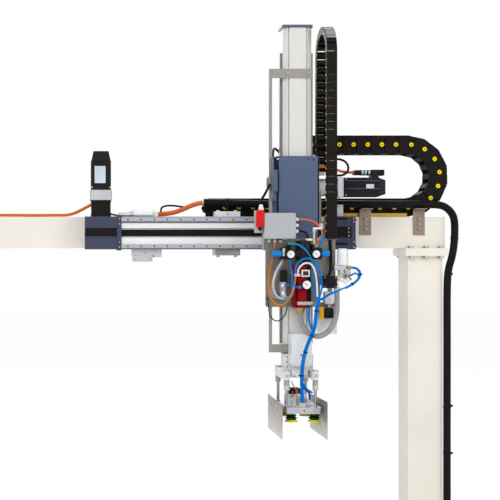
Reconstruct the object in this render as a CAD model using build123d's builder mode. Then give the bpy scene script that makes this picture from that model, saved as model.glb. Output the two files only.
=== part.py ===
from build123d import *
from math import acos, cos, degrees, pi, radians, sin, tan
import os

os.makedirs("parts", exist_ok=True)

# Gantry robot: a beam on two columns carries a belt-driven horizontal axis. Its carriage holds a
# rack-driven vertical axis with a vacuum gripper. Millimetres; X along the beam, Y away from the
# working side, Z up. The origin is on the floor, at the centre of the right column's foot.

# Clearances
flat_gap = 0.3
shaft_gap = 0.05
bolt_gap = 1.0

# Steel frame
bay = 2150.0
column_width = 160.0
column_wall = 8.0
foot_width = 300.0
foot_thick = 20.0
anchor_spacing = 240.0
anchor_hole = 18.0
flange_width = 196.0
flange_depth = 216.0
flange_thick = 18.0
flange_bolt = 16.0
bolt_pitch = 70.0
bolt_line = 94.0
beam_bottom = 1300.0
beam_height = 145.0
beam_width = 150.0
beam_wall = 6.0
beam_overhang = 85.0
beam_cap = 8.0

# Horizontal axis
axis_centre_z = 1369.0
axis_height = 150.0
axis_depth = 90.0
axis_standoff = 20.0
axis_left = -1418.0
axis_right = -459.0
rail_width = 15.0
rail_height = 14.0
rail_spacing = 122.0
rail_hole_pitch = 60.0
rail_hole = 8.0
belt_width = 30.0
belt_thick = 3.0
belt_recess = 3.5
channel_height = 44.0
channel_depth = 13.0
pulley_radius = 22.5
pulley_shaft = 16.0
head_depth = 100.0
drive_head_length = 147.0
idler_head_length = 89.0
head_flange = 19.0
head_flange_rim = 5.0
motor_width = 91.0
motor_length = 178.0
motor_cap = 44.0
gearbox_length = 75.0
coupling_length = 46.0
coupling_width = head_depth - 1

# Horizontal carriage
carriage_x = -652.0
carriage_travel = 660.0
carriage_plate_left = 128.0
carriage_plate_right = 125.0
carriage_plate_bottom = 1289.0
carriage_plate_height = 162.0
carriage_plate_thick = 24.0
block_length = 58.0
block_width = 34.0
block_height = 24.0
block_spacing = 150.0

# Vertical axis
lift_travel = 340.0
lift_bottom = 842.0
lift_top = 2269.0
lift_width = 126.0
lift_depth = 110.0
lift_front = 385.0
lift_bevel_x = 17.0
lift_bevel_y = 16.0
lift_groove = 6.0
lift_groove_x = 46.0
lift_wall = 8.0
cap_thick = 12.0
cap_rim = 4.0
lift_rail_width = 15.0
lift_rail_height = 9.0
lift_rail_line = 37.5
lift_rail_bottom = lift_bottom + 37
lift_rail_top = lift_top - 108

# Rack and pinion of the vertical axis
gear_module = 3.0
pinion_teeth = 20
pressure_angle = 20.0
rack_width = 20.0
rack_bottom = 1300.0
rack_top = lift_rail_top - 1
rack_back = 16.25
backlash = 0.3
drive_z = 1574.0

# Carriage housing and cover
housing_plate = 30.0
housing_top = 1690.0
lift_block_gap = 2.0
lift_block_thick = 15.0
cheek_thick = 6.0
cheek_inside = lift_width / 2 + lift_block_gap + lift_block_thick
cheek_reach = 107.0
lift_block_length = 60.0
lift_block_width = 36.0
cover_left = cheek_inside + cheek_thick + 13
cover_right = cheek_inside + cheek_thick + 3
cover_bottom = 1343.0
cover_top = 1701.0
cover_front = 425.0
cover_wall = 2.0
cover_radius = 16.0
sensor_strip = 12.0
sensor_block = 18.0
chain_guide = 17.0
lift_gearbox_width = 88.0
lift_gearbox_length = 118.0
lift_adapter_length = 24.0
lift_motor_length = 192.0
lift_motor_cap = 30.0

# Energy chains
x_chain_pitch = 66.0
x_chain_height = 85.0
x_chain_width = 110.0
x_chain_turn = 7
x_chain_end = -75.0
x_chain_lower_z = 1490.0
z_chain_pitch = 34.0
z_chain_height = 34.0
z_chain_width = 44.0
z_chain_turn = 10
z_chain_x = -515.0
z_chain_mid_y = -325.0
z_chain_end = 2155.0
link_wall = 4.0
link_bar = 5.0

# Places that several pieces share, worked out from the sizes above
beam_top = beam_bottom + beam_height
beam_front = -beam_width / 2
column_height = beam_bottom - flange_thick
axis_back = beam_front - axis_standoff
axis_front = axis_back - axis_depth
axis_top = axis_centre_z + axis_height / 2
axis_bottom = axis_centre_z - axis_height / 2
belt_outside = pulley_radius + belt_thick
belt_axis_y = axis_front + belt_recess + belt_outside
drive_x = axis_left - head_flange - drive_head_length / 2
idler_x = axis_right + (idler_head_length - 0.5) / 2
plate_back = axis_front - block_height
plate_front = plate_back - carriage_plate_thick
housing_front = plate_front - housing_plate
lift_back = -lift_front + lift_depth
rail_y = -lift_front + lift_rail_line
rack_pitch_y = lift_back + rack_back + 1.25 * gear_module
pinion_radius = gear_module * pinion_teeth / 2
drive_y = rack_pitch_y + pinion_radius
x_chain_radius = x_chain_turn * x_chain_pitch / pi
x_chain_upper_z = x_chain_lower_z + 2 * x_chain_radius
x_chain_shift = round(carriage_travel / 2 / x_chain_pitch)
z_chain_radius = z_chain_turn * z_chain_pitch / pi
z_chain_shift = round(lift_travel / 2 / z_chain_pitch)


def block(low, high, mode=Mode.ADD):
    """A box between two opposite corners."""
    low, high = Vector(*low), Vector(*high)
    size = high - low
    with Locations((low + high) * 0.5):
        Box(size.X, size.Y, size.Z, mode=mode)


def rod(centre, radius, length, axis=Axis.Z, mode=Mode.ADD):
    """A cylinder about its centre, along one of the three axes."""
    with Locations(Plane(origin=centre, z_dir=axis.direction)):
        Cylinder(radius, length, mode=mode)


def box_tube(low, high, wall):
    """An upright or lying square tube, open at both ends of its longest side."""
    low, high = Vector(*low), Vector(*high)
    size = high - low
    block(low, high)
    longest = max(size.X, size.Y, size.Z)
    inset = [0 if abs(length - longest) < 1e-6 else wall for length in (size.X, size.Y, size.Z)]
    block(low + Vector(*inset), high - Vector(*inset), mode=Mode.SUBTRACT)


# Columns: a square tube between a foot plate and a top flange, welded into one piece
def column(centre_x):
    with BuildPart() as made:
        half = column_width / 2
        box_tube((centre_x - half, -half, foot_thick), (centre_x + half, half, column_height - flange_thick),
                 column_wall)
        with BuildSketch(Plane.XY):
            with Locations((centre_x, 0)):
                RectangleRounded(foot_width, foot_width, 12)
                with GridLocations(anchor_spacing, anchor_spacing, 2, 2):
                    Circle(anchor_hole / 2, mode=Mode.SUBTRACT)
        extrude(amount=foot_thick)
        with BuildSketch(Plane.XY.offset(column_height - flange_thick)):
            with Locations((centre_x, 0)):
                Rectangle(flange_width, flange_depth)
                with GridLocations(bolt_pitch, 2 * bolt_line, 3, 2):
                    Circle((flange_bolt + bolt_gap) / 2, mode=Mode.SUBTRACT)
        extrude(amount=flange_thick)
    return made


column_left = column(-bay)
column_tube = column(0)

# The right column also has a socket on its foot, where the conduit goes down into the floor
conduit_diameter = 36.0
conduit_x = column_width / 2 + conduit_diameter / 2
conduit_y = -90.0
socket_top = foot_thick + 25
with BuildPart() as column_right:
    add(column_tube.part)
    rod((conduit_x, conduit_y, (foot_thick + socket_top) / 2), conduit_diameter / 2 + 4,
        socket_top - foot_thick)

# Beam: a closed box with a bolted flange under each end
with BuildPart() as beam:
    beam_left = -bay - beam_overhang
    box_tube((beam_left, beam_front, beam_bottom), (beam_overhang, -beam_front, beam_top), beam_wall)
    for end_x in (beam_left - beam_cap, beam_overhang):
        block((end_x, beam_front, beam_bottom), (end_x + beam_cap, -beam_front, beam_top))
    for centre_x in (0, -bay):
        with BuildSketch(Plane.XY.offset(beam_bottom - flange_thick)):
            with Locations((centre_x, 0)):
                Rectangle(flange_width, flange_depth)
                with GridLocations(bolt_pitch, 2 * bolt_line, 3, 2):
                    Circle((flange_bolt + bolt_gap) / 2, mode=Mode.SUBTRACT)
        extrude(amount=flange_thick)

# Flange bolts: head, shank and nut as one fastened piece each
with BuildPart() as bolt:
    head_height = 10.0
    bolt_grip = 2 * flange_thick
    with BuildSketch(Plane.XY):
        RegularPolygon(flange_bolt * 0.75, 6, major_radius=False)
    extrude(amount=head_height)
    with BuildSketch(Plane.XY.offset(-bolt_grip)):
        RegularPolygon(flange_bolt * 0.75, 6, major_radius=False)
    extrude(amount=-head_height)
    with Locations((0, 0, -bolt_grip / 2)):
        Cylinder(flange_bolt / 2, bolt_grip)

with BuildPart() as flange_bolts:
    for centre_x in (0, -bay):
        with Locations((centre_x, 0, beam_bottom)):
            with GridLocations(bolt_pitch, 2 * bolt_line, 3, 2):
                add(bolt.part)


def tee_slot(y, z, towards, mouth=8.0, lip=4.0, inner=16.0, depth=7.0):
    """A fastening slot in an extruded profile, cut from a face in the direction given."""
    along = Vector(*towards)
    across = abs(along.Y) > 0.5
    middle = Vector(y, z) + along * (lip / 2)
    with Locations((middle.X, middle.Y)):
        Rectangle(mouth if across else lip, lip if across else mouth, mode=Mode.SUBTRACT)
    middle = Vector(y, z) + along * (lip + depth / 2)
    with Locations((middle.X, middle.Y)):
        Rectangle(inner if across else depth, depth if across else inner, mode=Mode.SUBTRACT)


# Extruded body of the horizontal axis, with the belt's open channel and its return chamber
with BuildPart() as x_profile:
    with BuildSketch(Plane.YZ.offset(axis_left)):
        middle_y = (axis_front + axis_back) / 2
        with Locations((middle_y, axis_centre_z)):
            Rectangle(axis_depth, axis_height)
        with Locations((axis_front + channel_depth / 2, axis_centre_z)):
            Rectangle(channel_depth, channel_height, mode=Mode.SUBTRACT)
        with Locations((belt_axis_y + pulley_radius + belt_thick / 2, axis_centre_z)):
            Rectangle(18, belt_width + 8, mode=Mode.SUBTRACT)
        for side in (-1, 1):
            with Locations((middle_y, axis_centre_z + side * 44)):
                Rectangle(52, 30, mode=Mode.SUBTRACT)
            tee_slot(middle_y, axis_centre_z + side * axis_height / 2, (0, -side))
            tee_slot(axis_back, axis_centre_z + side * 44, (-1, 0))
    extrude(amount=axis_right - axis_left)

rail_count = int((axis_right - axis_left) // rail_hole_pitch) + 1

# Guide rails on the front face, waisted like the real ones, with a row of sunk screw holes
with BuildPart() as x_rails:
    with BuildSketch(Plane.YZ.offset(axis_left)):
        for side in (-1, 1):
            with Locations((axis_front - rail_height / 2, axis_centre_z + side * rail_spacing / 2)):
                Rectangle(rail_height, rail_width)
                for edge in (-1, 1):
                    with Locations((-1, edge * rail_width / 2)):
                        Rectangle(4, 3, mode=Mode.SUBTRACT)
    extrude(amount=axis_right - axis_left)
    with BuildSketch(Plane.XZ.offset(-axis_front + rail_height)):
        with Locations(((axis_left + axis_right) / 2, axis_centre_z)):
            with GridLocations(rail_hole_pitch, rail_spacing, rail_count, 2):
                RegularPolygon(rail_hole / 2, 8)
    extrude(amount=-5, mode=Mode.SUBTRACT)

# Toothed belt: one closed loop round the drive pulley and the idler
with BuildPart() as x_belt:
    with BuildSketch(Plane.XY.offset(axis_centre_z - belt_width / 2)):
        with Locations(((drive_x + idler_x) / 2, belt_axis_y)):
            SlotCenterToCenter(idler_x - drive_x, 2 * belt_outside)
            SlotCenterToCenter(idler_x - drive_x, 2 * pulley_radius, mode=Mode.SUBTRACT)
    extrude(amount=belt_width)


def bearing_pair(centre_x, spread):
    """Two flanged bearings on the pulley's shaft, above and below the belt."""
    for side in (-1, 1):
        centre = (centre_x, belt_axis_y, axis_centre_z + side * spread)
        rod(centre, pulley_shaft, 8)
        rod(centre, pulley_shaft / 2 + shaft_gap, 8, mode=Mode.SUBTRACT)


def head_housing(left, right, pulley_x, open_side):
    """A bearing housing at one end of the axis: pulley chamber, belt mouth and front cover recess."""
    front = axis_back - head_depth
    block((left, front, axis_bottom), (right, axis_back, axis_top))
    fillet(edges().filter_by(Axis.Z), 5)
    chamber = belt_outside + 4
    rod((pulley_x, belt_axis_y, axis_centre_z), chamber, belt_width + 10, mode=Mode.SUBTRACT)
    mouth = (pulley_x, right) if open_side > 0 else (left, pulley_x)
    block((mouth[0], belt_axis_y - chamber, axis_centre_z - belt_width / 2 - 5),
          (mouth[1], belt_axis_y + chamber, axis_centre_z + belt_width / 2 + 5), mode=Mode.SUBTRACT)
    rod((pulley_x, belt_axis_y, axis_centre_z), pulley_shaft + shaft_gap, axis_height - 30,
        mode=Mode.SUBTRACT)
    rod((pulley_x, belt_axis_y, axis_top - 10), pulley_shaft / 2 + 2, 40, mode=Mode.SUBTRACT)
    block((left, front, axis_centre_z - channel_height / 2),
          (right, front + 3, axis_centre_z + channel_height / 2),
          mode=Mode.SUBTRACT)


# Drive head at the left end: housing, inner flange, belt cover strip and two bearings
bearing_spread = 42.0
with BuildPart() as x_drive_head:
    head_left = axis_left - head_flange - drive_head_length
    head_housing(head_left, axis_left - head_flange, drive_x, 1)
    block((axis_left - head_flange, axis_back - head_depth, axis_bottom - head_flange_rim),
          (axis_left, axis_back, axis_top + head_flange_rim))
    block((axis_left - head_flange, axis_front - 1, axis_centre_z - belt_width / 2 - 5),
          (axis_left, belt_axis_y + belt_outside + 4, axis_centre_z + belt_width / 2 + 5), mode=Mode.SUBTRACT)
    block((head_left, axis_back - head_depth, axis_centre_z - 20),
          (axis_left - head_flange, axis_back - head_depth + 3, axis_centre_z + 20))
    bearing_pair(drive_x, bearing_spread)

# Idler head at the right end: the same, closed by an outer plate, with a small sensor box on top
sensor_box = 54.0
with BuildPart() as x_idler_head:
    head_right = axis_right + idler_head_length
    head_housing(axis_right, head_right, idler_x, -1)
    block((head_right, axis_back - head_depth, axis_bottom), (head_right + head_flange, axis_back, axis_top))
    block((axis_right, axis_back - head_depth, axis_centre_z - 23),
          (head_right, axis_back - head_depth + 3, axis_centre_z + 23))
    with BuildSketch(Plane.YZ.offset(head_right + head_flange)):
        with Locations(((2 * axis_back - head_depth) / 2, axis_centre_z)):
            with GridLocations(head_depth - 24, axis_height - 30, 2, 2):
                RegularPolygon(6, 6)
    extrude(amount=5)
    block((idler_x - 18, axis_back - head_depth + 10, axis_top), (idler_x + 9, axis_back - head_depth + 35,
          axis_top + sensor_box))
    rod((idler_x - 4.5, axis_back - head_depth + 8, axis_top + sensor_box - 9), 5, 4, Axis.Y)
    bearing_pair(idler_x, bearing_spread)


# Pulleys: flanged, toothed wheels on their shafts, which turn in the heads' bearings
def pulley(centre_x, shaft_low, shaft_high):
    with BuildPart() as made:
        teeth = 24
        with BuildSketch(Plane.XY.offset(axis_centre_z - belt_width / 2 - 1)):
            with Locations((centre_x, belt_axis_y)):
                RegularPolygon(pulley_radius - flat_gap, teeth)
        extrude(amount=belt_width + 2)
        for side in (-1, 1):
            rod((centre_x, belt_axis_y, axis_centre_z + side * (belt_width / 2 + 2)), pulley_radius + 4, 2)
        middle = (shaft_low + shaft_high) / 2
        rod((centre_x, belt_axis_y, middle), pulley_shaft / 2, shaft_high - shaft_low)
    return made


shaft_bottom = axis_centre_z - bearing_spread - 6
x_drive_pulley = pulley(drive_x, shaft_bottom, axis_top)
x_idler_pulley = pulley(idler_x, shaft_bottom, axis_centre_z + bearing_spread + 6)

# Gearbox and servo motor of the horizontal axis, standing on the drive head
motor_y = axis_back - head_depth / 2
with BuildPart() as x_gearbox:
    base = axis_top
    with BuildSketch(Plane.XY.offset(base)):
        with Locations((drive_x, motor_y)):
            RectangleRounded(motor_width, motor_width, 8)
    extrude(amount=12)
    with BuildSketch(Plane.XY.offset(base + 12)):
        with Locations((drive_x, motor_y)):
            RectangleRounded(motor_width - 3, motor_width - 3, 8)
    extrude(amount=gearbox_length - 24)
    with BuildSketch(Plane.XY.offset(base + gearbox_length - 12)):
        with Locations((drive_x, motor_y)):
            RectangleRounded(motor_width, motor_width, 8)
    extrude(amount=12)
    with BuildSketch(Plane.XY.offset(base + gearbox_length)):
        with Locations((drive_x, motor_y)):
            RectangleRounded(coupling_width, coupling_width, 12)
    extrude(amount=coupling_length)


plug_reach = 36.0
plug_line = 24.0
plug_depth = 30.0
plug_length = 76.0
plug_radius = 11.0


def servo_motor(width, length, cap, plug_turn):
    """A finned servo motor along +Z: tapered encoder cap, and a plug housing whose two plugs point back."""
    with BuildPart() as made:
        body = length - cap
        with BuildSketch():
            RectangleRounded(width, width, 7)
            for turn in (0, 90, 180, 270):
                with Locations(Location((0, 0, 0), turn)):
                    for groove in (-22, -8, 8, 22):
                        with Locations((width / 2, groove)):
                            Rectangle(5, 4, mode=Mode.SUBTRACT)
        extrude(amount=body)
        with BuildSketch(Plane.XY.offset(body)):
            Rectangle(width - 4, width - 4)
        with BuildSketch(Plane.XY.offset(length)):
            Rectangle(width - 22, width - 22)
        loft()
        with Locations(Location((0, 0, 0), (0, 0, plug_turn))):
            with Locations((width / 2 + plug_reach / 2, 0, body - plug_depth / 2)):
                Box(plug_reach, 60, plug_depth)
            with Locations((width / 2 + plug_line, -15, body - plug_depth),
                           (width / 2 + plug_line, 15, body - plug_depth)):
                Cylinder(plug_radius, plug_length, align=(Align.CENTER, Align.CENTER, Align.MAX))
    return made


x_servo = servo_motor(motor_width, motor_length, motor_cap, 90)
with BuildPart() as x_motor:
    with Locations((drive_x, motor_y, axis_top + gearbox_length + coupling_length)):
        add(x_servo.part)

# Blocks that clamp the axis to the beam: spacers behind it, plates above and below
clamp_length = 116.0
clamp_front = axis_front + 15
clamp_above = 24.0
clamp_above_depth = 60.0
clamp_below = 28.0
clamp_screw_y = (axis_front + axis_back) / 2
clamp_screw_side = 40.0
clamp_screw = 8.0
stop_left, stop_width, stop_height = -1255.0, 23.0, 36.0
with BuildPart() as axis_clamps:
    for centre_x in (-1308.0, -931.0):
        left, right = centre_x - clamp_length / 2, centre_x + clamp_length / 2
        block((left, axis_back, beam_bottom + 6), (right, beam_front, beam_top - 6))
        block((left, clamp_front, axis_top), (right, clamp_front + clamp_above_depth, axis_top + clamp_above))
        block((left, clamp_front, axis_bottom - clamp_below), (right, axis_back, axis_bottom))
        block((left, axis_back, axis_bottom - clamp_below), (right, beam_front, beam_bottom + 6))
        for side in (-1, 1):
            screw_x = centre_x + side * clamp_screw_side
            rod((screw_x, clamp_screw_y, axis_top + clamp_above + 3), clamp_screw, 6)
            rod((screw_x, clamp_screw_y, axis_bottom - clamp_below - 4), clamp_screw, 8)
    block((stop_left, clamp_front, axis_bottom - stop_height),
          (stop_left + stop_width, clamp_front + 50, axis_bottom))

# Chain tray on the beam's top, and the angle brackets that carry the conduit
tray_thick = 2.0
tray_left, tray_right = -1080.0, -80.0
tray_half = 62.0
tray_edge_left = -376.0
tray_edge = 18.0
lead_block_left, lead_block_length = -2015.0, 30.0
lip_z = 1484.0
bracket_width = 54.0
bracket_bottom = lip_z - 124
bracket_reach = 45.0
bracket_thick = 4.0
bracket_screws = (bracket_bottom + 30, bracket_bottom + 74)
with BuildPart() as tray_brackets:
    block((tray_left, -tray_half, beam_top), (tray_right, tray_half, beam_top + tray_thick))
    for side in (-1, 1):
        edge_y = side * (tray_half - tray_thick / 2)
        block((tray_edge_left, edge_y - tray_thick / 2, beam_top),
              (tray_right, edge_y + tray_thick / 2, beam_top + tray_edge))
    block((lead_block_left, -68, beam_top), (lead_block_left + lead_block_length, -44, beam_top + 20))
    for centre_x in (-278.0, -29.0):
        left, right = centre_x - bracket_width / 2, centre_x + bracket_width / 2
        with BuildSketch(Plane.YZ.offset(left)):
            with BuildLine():
                Polyline((beam_front, bracket_bottom), (beam_front, lip_z),
                         (beam_front - bracket_reach, lip_z),
                         (beam_front - bracket_reach, lip_z - bracket_thick),
                         (beam_front - bracket_thick, lip_z - bracket_thick),
                         (beam_front - bracket_thick, bracket_bottom), close=True)
            make_face()
        extrude(amount=bracket_width)
        for screw_z in bracket_screws:
            rod((centre_x, beam_front - bracket_thick - 3, screw_z), 7, 6, Axis.Y)

# Energy chain links
with BuildPart() as x_link:
    end_radius = 27.0
    half_height = x_chain_height / 2
    joint_reach = x_chain_pitch - end_radius - 1
    for side in (-1, 1):
        for layer in (0, 1):
            outer = side * (x_chain_width / 2 - layer * (link_wall + flat_gap))
            with BuildSketch(Plane.XY.offset(outer)):
                with Locations((x_chain_pitch * layer, 0)):
                    RegularPolygon(end_radius, 8)
                middle = joint_reach / 2 - 4 if layer == 0 else x_chain_pitch - joint_reach / 2 + 4
                with Locations((middle, 0)):
                    Rectangle(joint_reach + 8, x_chain_height)
            extrude(amount=-side * link_wall)
        with BuildSketch(Plane.XY.offset(side * x_chain_width / 2)):
            with Locations((x_chain_pitch / 2, 0)):
                Rectangle(2 * joint_reach - x_chain_pitch, x_chain_height)
        extrude(amount=-side * (2 * link_wall + flat_gap))
    inner_half = x_chain_width / 2 - 2 * link_wall
    for bar_y in (half_height - link_bar, -half_height):
        block((x_chain_pitch / 2 - 12, bar_y, -inner_half),
              (x_chain_pitch / 2 + 12, bar_y + link_bar, inner_half))

with BuildPart() as z_link:
    half = z_chain_height / 2
    lean = half * tan(pi / z_chain_turn / 2)
    tip = z_chain_pitch / 2 - flat_gap / 2
    for side in (-1, 1):
        with BuildSketch(Plane.XY.offset(side * z_chain_width / 2)):
            with BuildLine():
                Polyline((-tip, 0), (-tip, half), (tip, half), (tip, 0), (tip - lean, -half),
                         (lean - tip, -half), close=True)
            make_face()
        extrude(amount=-side * link_wall)
    inner_half = z_chain_width / 2 - link_wall
    lid = tip - flat_gap
    block((-lid, half - link_bar, -inner_half), (lid, half, inner_half))
    block((-8, -half, -inner_half), (8, link_bar - half, inner_half))


def x_place(x, z, turn):
    """Where a link of the horizontal chain goes: its first joint, and its turn in the XZ plane."""
    return Location(Plane(origin=(x, 0, z), x_dir=(cos(radians(turn)), 0, sin(radians(turn))),
                          z_dir=(0, -1, 0)))


def z_place(y, z, turn):
    """Where the middle of a link of the vertical chain goes, and its turn in the YZ plane."""
    direction = (0, cos(radians(turn)), sin(radians(turn)))
    return Location(Plane(origin=(z_chain_x, y, z), x_dir=direction, z_dir=(1, 0, 0)))


def x_arc_joint(step):
    """A joint of the horizontal chain's half turn, counted from its lower end."""
    turn = radians(180 / x_chain_turn * step)
    chord = x_chain_pitch / 2 / sin(radians(90 / x_chain_turn))
    centre_z = (x_chain_lower_z + x_chain_upper_z) / 2
    scale = x_chain_radius / chord
    return Vector(x_chain_end + chord * sin(turn) * scale, 0, centre_z - chord * cos(turn) * scale)


upper_links = 8
lower_links = 9
with BuildPart() as x_chain_fixed:
    start = x_chain_end - x_chain_pitch * (x_chain_shift + lower_links)
    with Locations(*[x_place(start + x_chain_pitch * i, x_chain_lower_z, 0) for i in range(lower_links)]):
        add(x_link.part)

with BuildPart() as x_chain_moving:
    places = [x_place(x_chain_end - x_chain_pitch * i, x_chain_upper_z, 180) for i in range(upper_links)]
    with Locations(*places):
        add(x_link.part)

with BuildPart() as x_chain_loop:
    places = []
    for i in range(x_chain_shift):
        places.append(x_place(x_chain_end - x_chain_pitch * (x_chain_shift - i), x_chain_lower_z, 0))
    for i in range(x_chain_turn):
        here, there = x_arc_joint(i), x_arc_joint(i + 1)
        turn = degrees(pi / x_chain_turn) * (i + 0.5)
        places.append(x_place(here.X, here.Z, turn))
    with Locations(*places):
        add(x_link.part)

front_links = 24
rear_links = 10
z_front_y = z_chain_mid_y - z_chain_radius
z_rear_y = z_chain_mid_y + z_chain_radius
z_chain_low = z_chain_end - z_chain_pitch * front_links
z_fixed_low = z_chain_end - z_chain_pitch * (z_chain_shift + rear_links)
with BuildPart() as z_chain_moving:
    with Locations(*[z_place(z_front_y, z_chain_low + z_chain_pitch * (i + 0.5),
                             90) for i in range(front_links)]):
        add(z_link.part)

with BuildPart() as z_chain_fixed:
    with Locations(*[z_place(z_rear_y, z_fixed_low + z_chain_pitch * (i + 0.5),
                             -90) for i in range(rear_links)]):
        add(z_link.part)

with BuildPart() as z_chain_loop:
    places = []
    for i in range(z_chain_shift):
        places.append(z_place(z_rear_y, z_chain_end - z_chain_pitch * (i + 0.5), -90))
    for i in range(z_chain_turn):
        turn = pi / z_chain_turn * (i + 0.5)
        places.append(z_place(z_chain_mid_y - z_chain_radius * cos(turn),
                              z_chain_end + z_chain_radius * sin(turn),
                              90 - degrees(turn)))
    with Locations(*places):
        add(z_link.part)

# Carriage plate of the horizontal axis, with sunk screws to the four runner blocks
with BuildPart() as x_carriage_plate:
    with BuildSketch(Plane.XZ.offset(-plate_back)):
        plate_middle = carriage_x + (carriage_plate_right - carriage_plate_left) / 2
        with Locations((plate_middle, carriage_plate_bottom + carriage_plate_height / 2)):
            RectangleRounded(carriage_plate_left + carriage_plate_right, carriage_plate_height, 6)
    extrude(amount=carriage_plate_thick)
    chamfer(faces().sort_by(Axis.Y)[0].edges(), 3)
    with BuildSketch(Plane.XZ.offset(-plate_front)):
        for side in (-1, 1):
            with Locations((carriage_x + side * 108, axis_centre_z)):
                with GridLocations(24, rail_spacing, 1, 2):
                    RegularPolygon(5, 8)
    extrude(amount=-6, mode=Mode.SUBTRACT)

# Runner blocks on the horizontal rails
with BuildPart() as x_bearing_blocks:
    for side_x in (-1, 1):
        with BuildSketch(Plane.YZ.offset(carriage_x + side_x * block_spacing / 2 - block_length / 2)):
            for side_z in (-1, 1):
                rail_z = axis_centre_z + side_z * rail_spacing / 2
                with Locations((axis_front - (block_height + 5) / 2, rail_z)):
                    Rectangle(block_height - 5, block_width)
                with Locations((axis_front - rail_height / 2, rail_z)):
                    Rectangle(rail_height + 2 * flat_gap, rail_width + 2 * flat_gap, mode=Mode.SUBTRACT)
        extrude(amount=block_length)

# Belt clamp between the carriage plate and the belt's front run
with BuildPart() as x_belt_clamp:
    clamp_back = belt_axis_y - belt_outside - flat_gap
    with BuildSketch(Plane.XZ.offset(-clamp_back)):
        with Locations((carriage_x, axis_centre_z)):
            RectangleRounded(70, belt_width, 4)
    extrude(amount=clamp_back - plate_back)

# Housing of the vertical axis: a machined channel with a slot for the rack and a pinion chamber
housing_side = cheek_inside + cheek_thick
chamber_radius = pinion_radius + gear_module + 2
box_back = drive_y + chamber_radius + 6
with BuildPart() as z_housing:
    with BuildSketch(Plane.XY.offset(carriage_plate_bottom + 11)):
        with BuildLine():
            Polyline((carriage_x - housing_side, plate_front), (carriage_x + housing_side, plate_front),
                     (carriage_x + housing_side, housing_front - cheek_reach),
                     (carriage_x + cheek_inside, housing_front - cheek_reach),
                     (carriage_x + cheek_inside, housing_front), (carriage_x - cheek_inside, housing_front),
                     (carriage_x - cheek_inside, housing_front - cheek_reach),
                     (carriage_x - housing_side, housing_front - cheek_reach), close=True)
        make_face()
    extrude(amount=housing_top - carriage_plate_bottom - 11)
    block((carriage_x - housing_side, plate_front, drive_z - 56),
          (carriage_x + housing_side, box_back, drive_z + 56))
    slot = rack_width / 2 + 2
    block((carriage_x - slot, housing_front, carriage_plate_bottom),
          (carriage_x + slot, rack_pitch_y + gear_module + 2,
          housing_top), mode=Mode.SUBTRACT)
    rod((carriage_x, drive_y, drive_z), chamber_radius, rack_width + 8, Axis.X, mode=Mode.SUBTRACT)
    rod((carriage_x, drive_y, drive_z), 16 + shaft_gap, 2 * housing_side + 2, Axis.X, mode=Mode.SUBTRACT)
    for side in (-1, 1):
        centre = (carriage_x + side * (housing_side - 12), drive_y, drive_z)
        rod(centre, 16, 10, Axis.X)
        rod(centre, 10 + shaft_gap, 10, Axis.X, mode=Mode.SUBTRACT)


def involute_half_angle(radius):
    """Half of a tooth's width at a radius, as an angle, for the pinion's involute flank."""
    base = pinion_radius * cos(radians(pressure_angle))
    lean = acos(min(1, base / radius))
    start = radians(pressure_angle)
    return pi / 2 / pinion_teeth + tan(start) - start - (tan(lean) - lean) - backlash / 2 / pinion_radius


# Pinion: involute teeth cut on a blank, on a shaft that runs from the housing into the gearbox
with BuildPart() as z_pinion:
    root = pinion_radius - 1.25 * gear_module
    tip_radius = pinion_radius + gear_module
    base_radius = pinion_radius * cos(radians(pressure_angle))
    flank = [(root, involute_half_angle(base_radius))]
    flank += [(r, involute_half_angle(r)) for r in (base_radius, pinion_radius, tip_radius)]
    outline = []
    for i in range(pinion_teeth):
        middle = pi + 2 * pi * i / pinion_teeth
        outline += [(r * cos(middle - a), r * sin(middle - a)) for r, a in flank]
        outline += [(r * cos(middle + a), r * sin(middle + a)) for r, a in reversed(flank)]
    with BuildSketch(Plane.YZ.offset(carriage_x - rack_width / 2)):
        with BuildLine():
            Polyline(*[(drive_y + y, drive_z + z) for y, z in outline], close=True)
        make_face()
    extrude(amount=rack_width)
    rod((carriage_x, drive_y, drive_z), 10, 2 * housing_side, Axis.X)

# Rack on the back of the vertical profile, with a gap that faces the pinion's tooth at rest
with BuildPart() as z_rack:
    tooth_pitch = pi * gear_module
    half_pitch = tooth_pitch / 4 - backlash / 2
    lean = tan(radians(pressure_angle))
    root_y = rack_pitch_y - 1.25 * gear_module
    tip_y = rack_pitch_y + gear_module - 0.1
    first = drive_z + tooth_pitch * (round((rack_bottom - drive_z) / tooth_pitch) + 0.5)
    tooth_count = int((rack_top - first) // tooth_pitch)
    outline = [(lift_back, first - tooth_pitch / 2), (root_y, first - tooth_pitch / 2)]
    for i in range(tooth_count):
        z = first + i * tooth_pitch
        outline += [(root_y, z - half_pitch - 1.25 * gear_module * lean),
                    (tip_y, z - half_pitch + gear_module * lean),
                    (tip_y, z + half_pitch - gear_module * lean),
                    (root_y, z + half_pitch + 1.25 * gear_module * lean)]
    rack_end = first + (tooth_count - 0.5) * tooth_pitch
    outline += [(root_y, rack_end), (lift_back, rack_end)]
    with BuildSketch(Plane.YZ.offset(carriage_x - rack_width / 2)):
        with BuildLine():
            Polyline(*outline, close=True)
        make_face()
    extrude(amount=rack_width)

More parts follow.
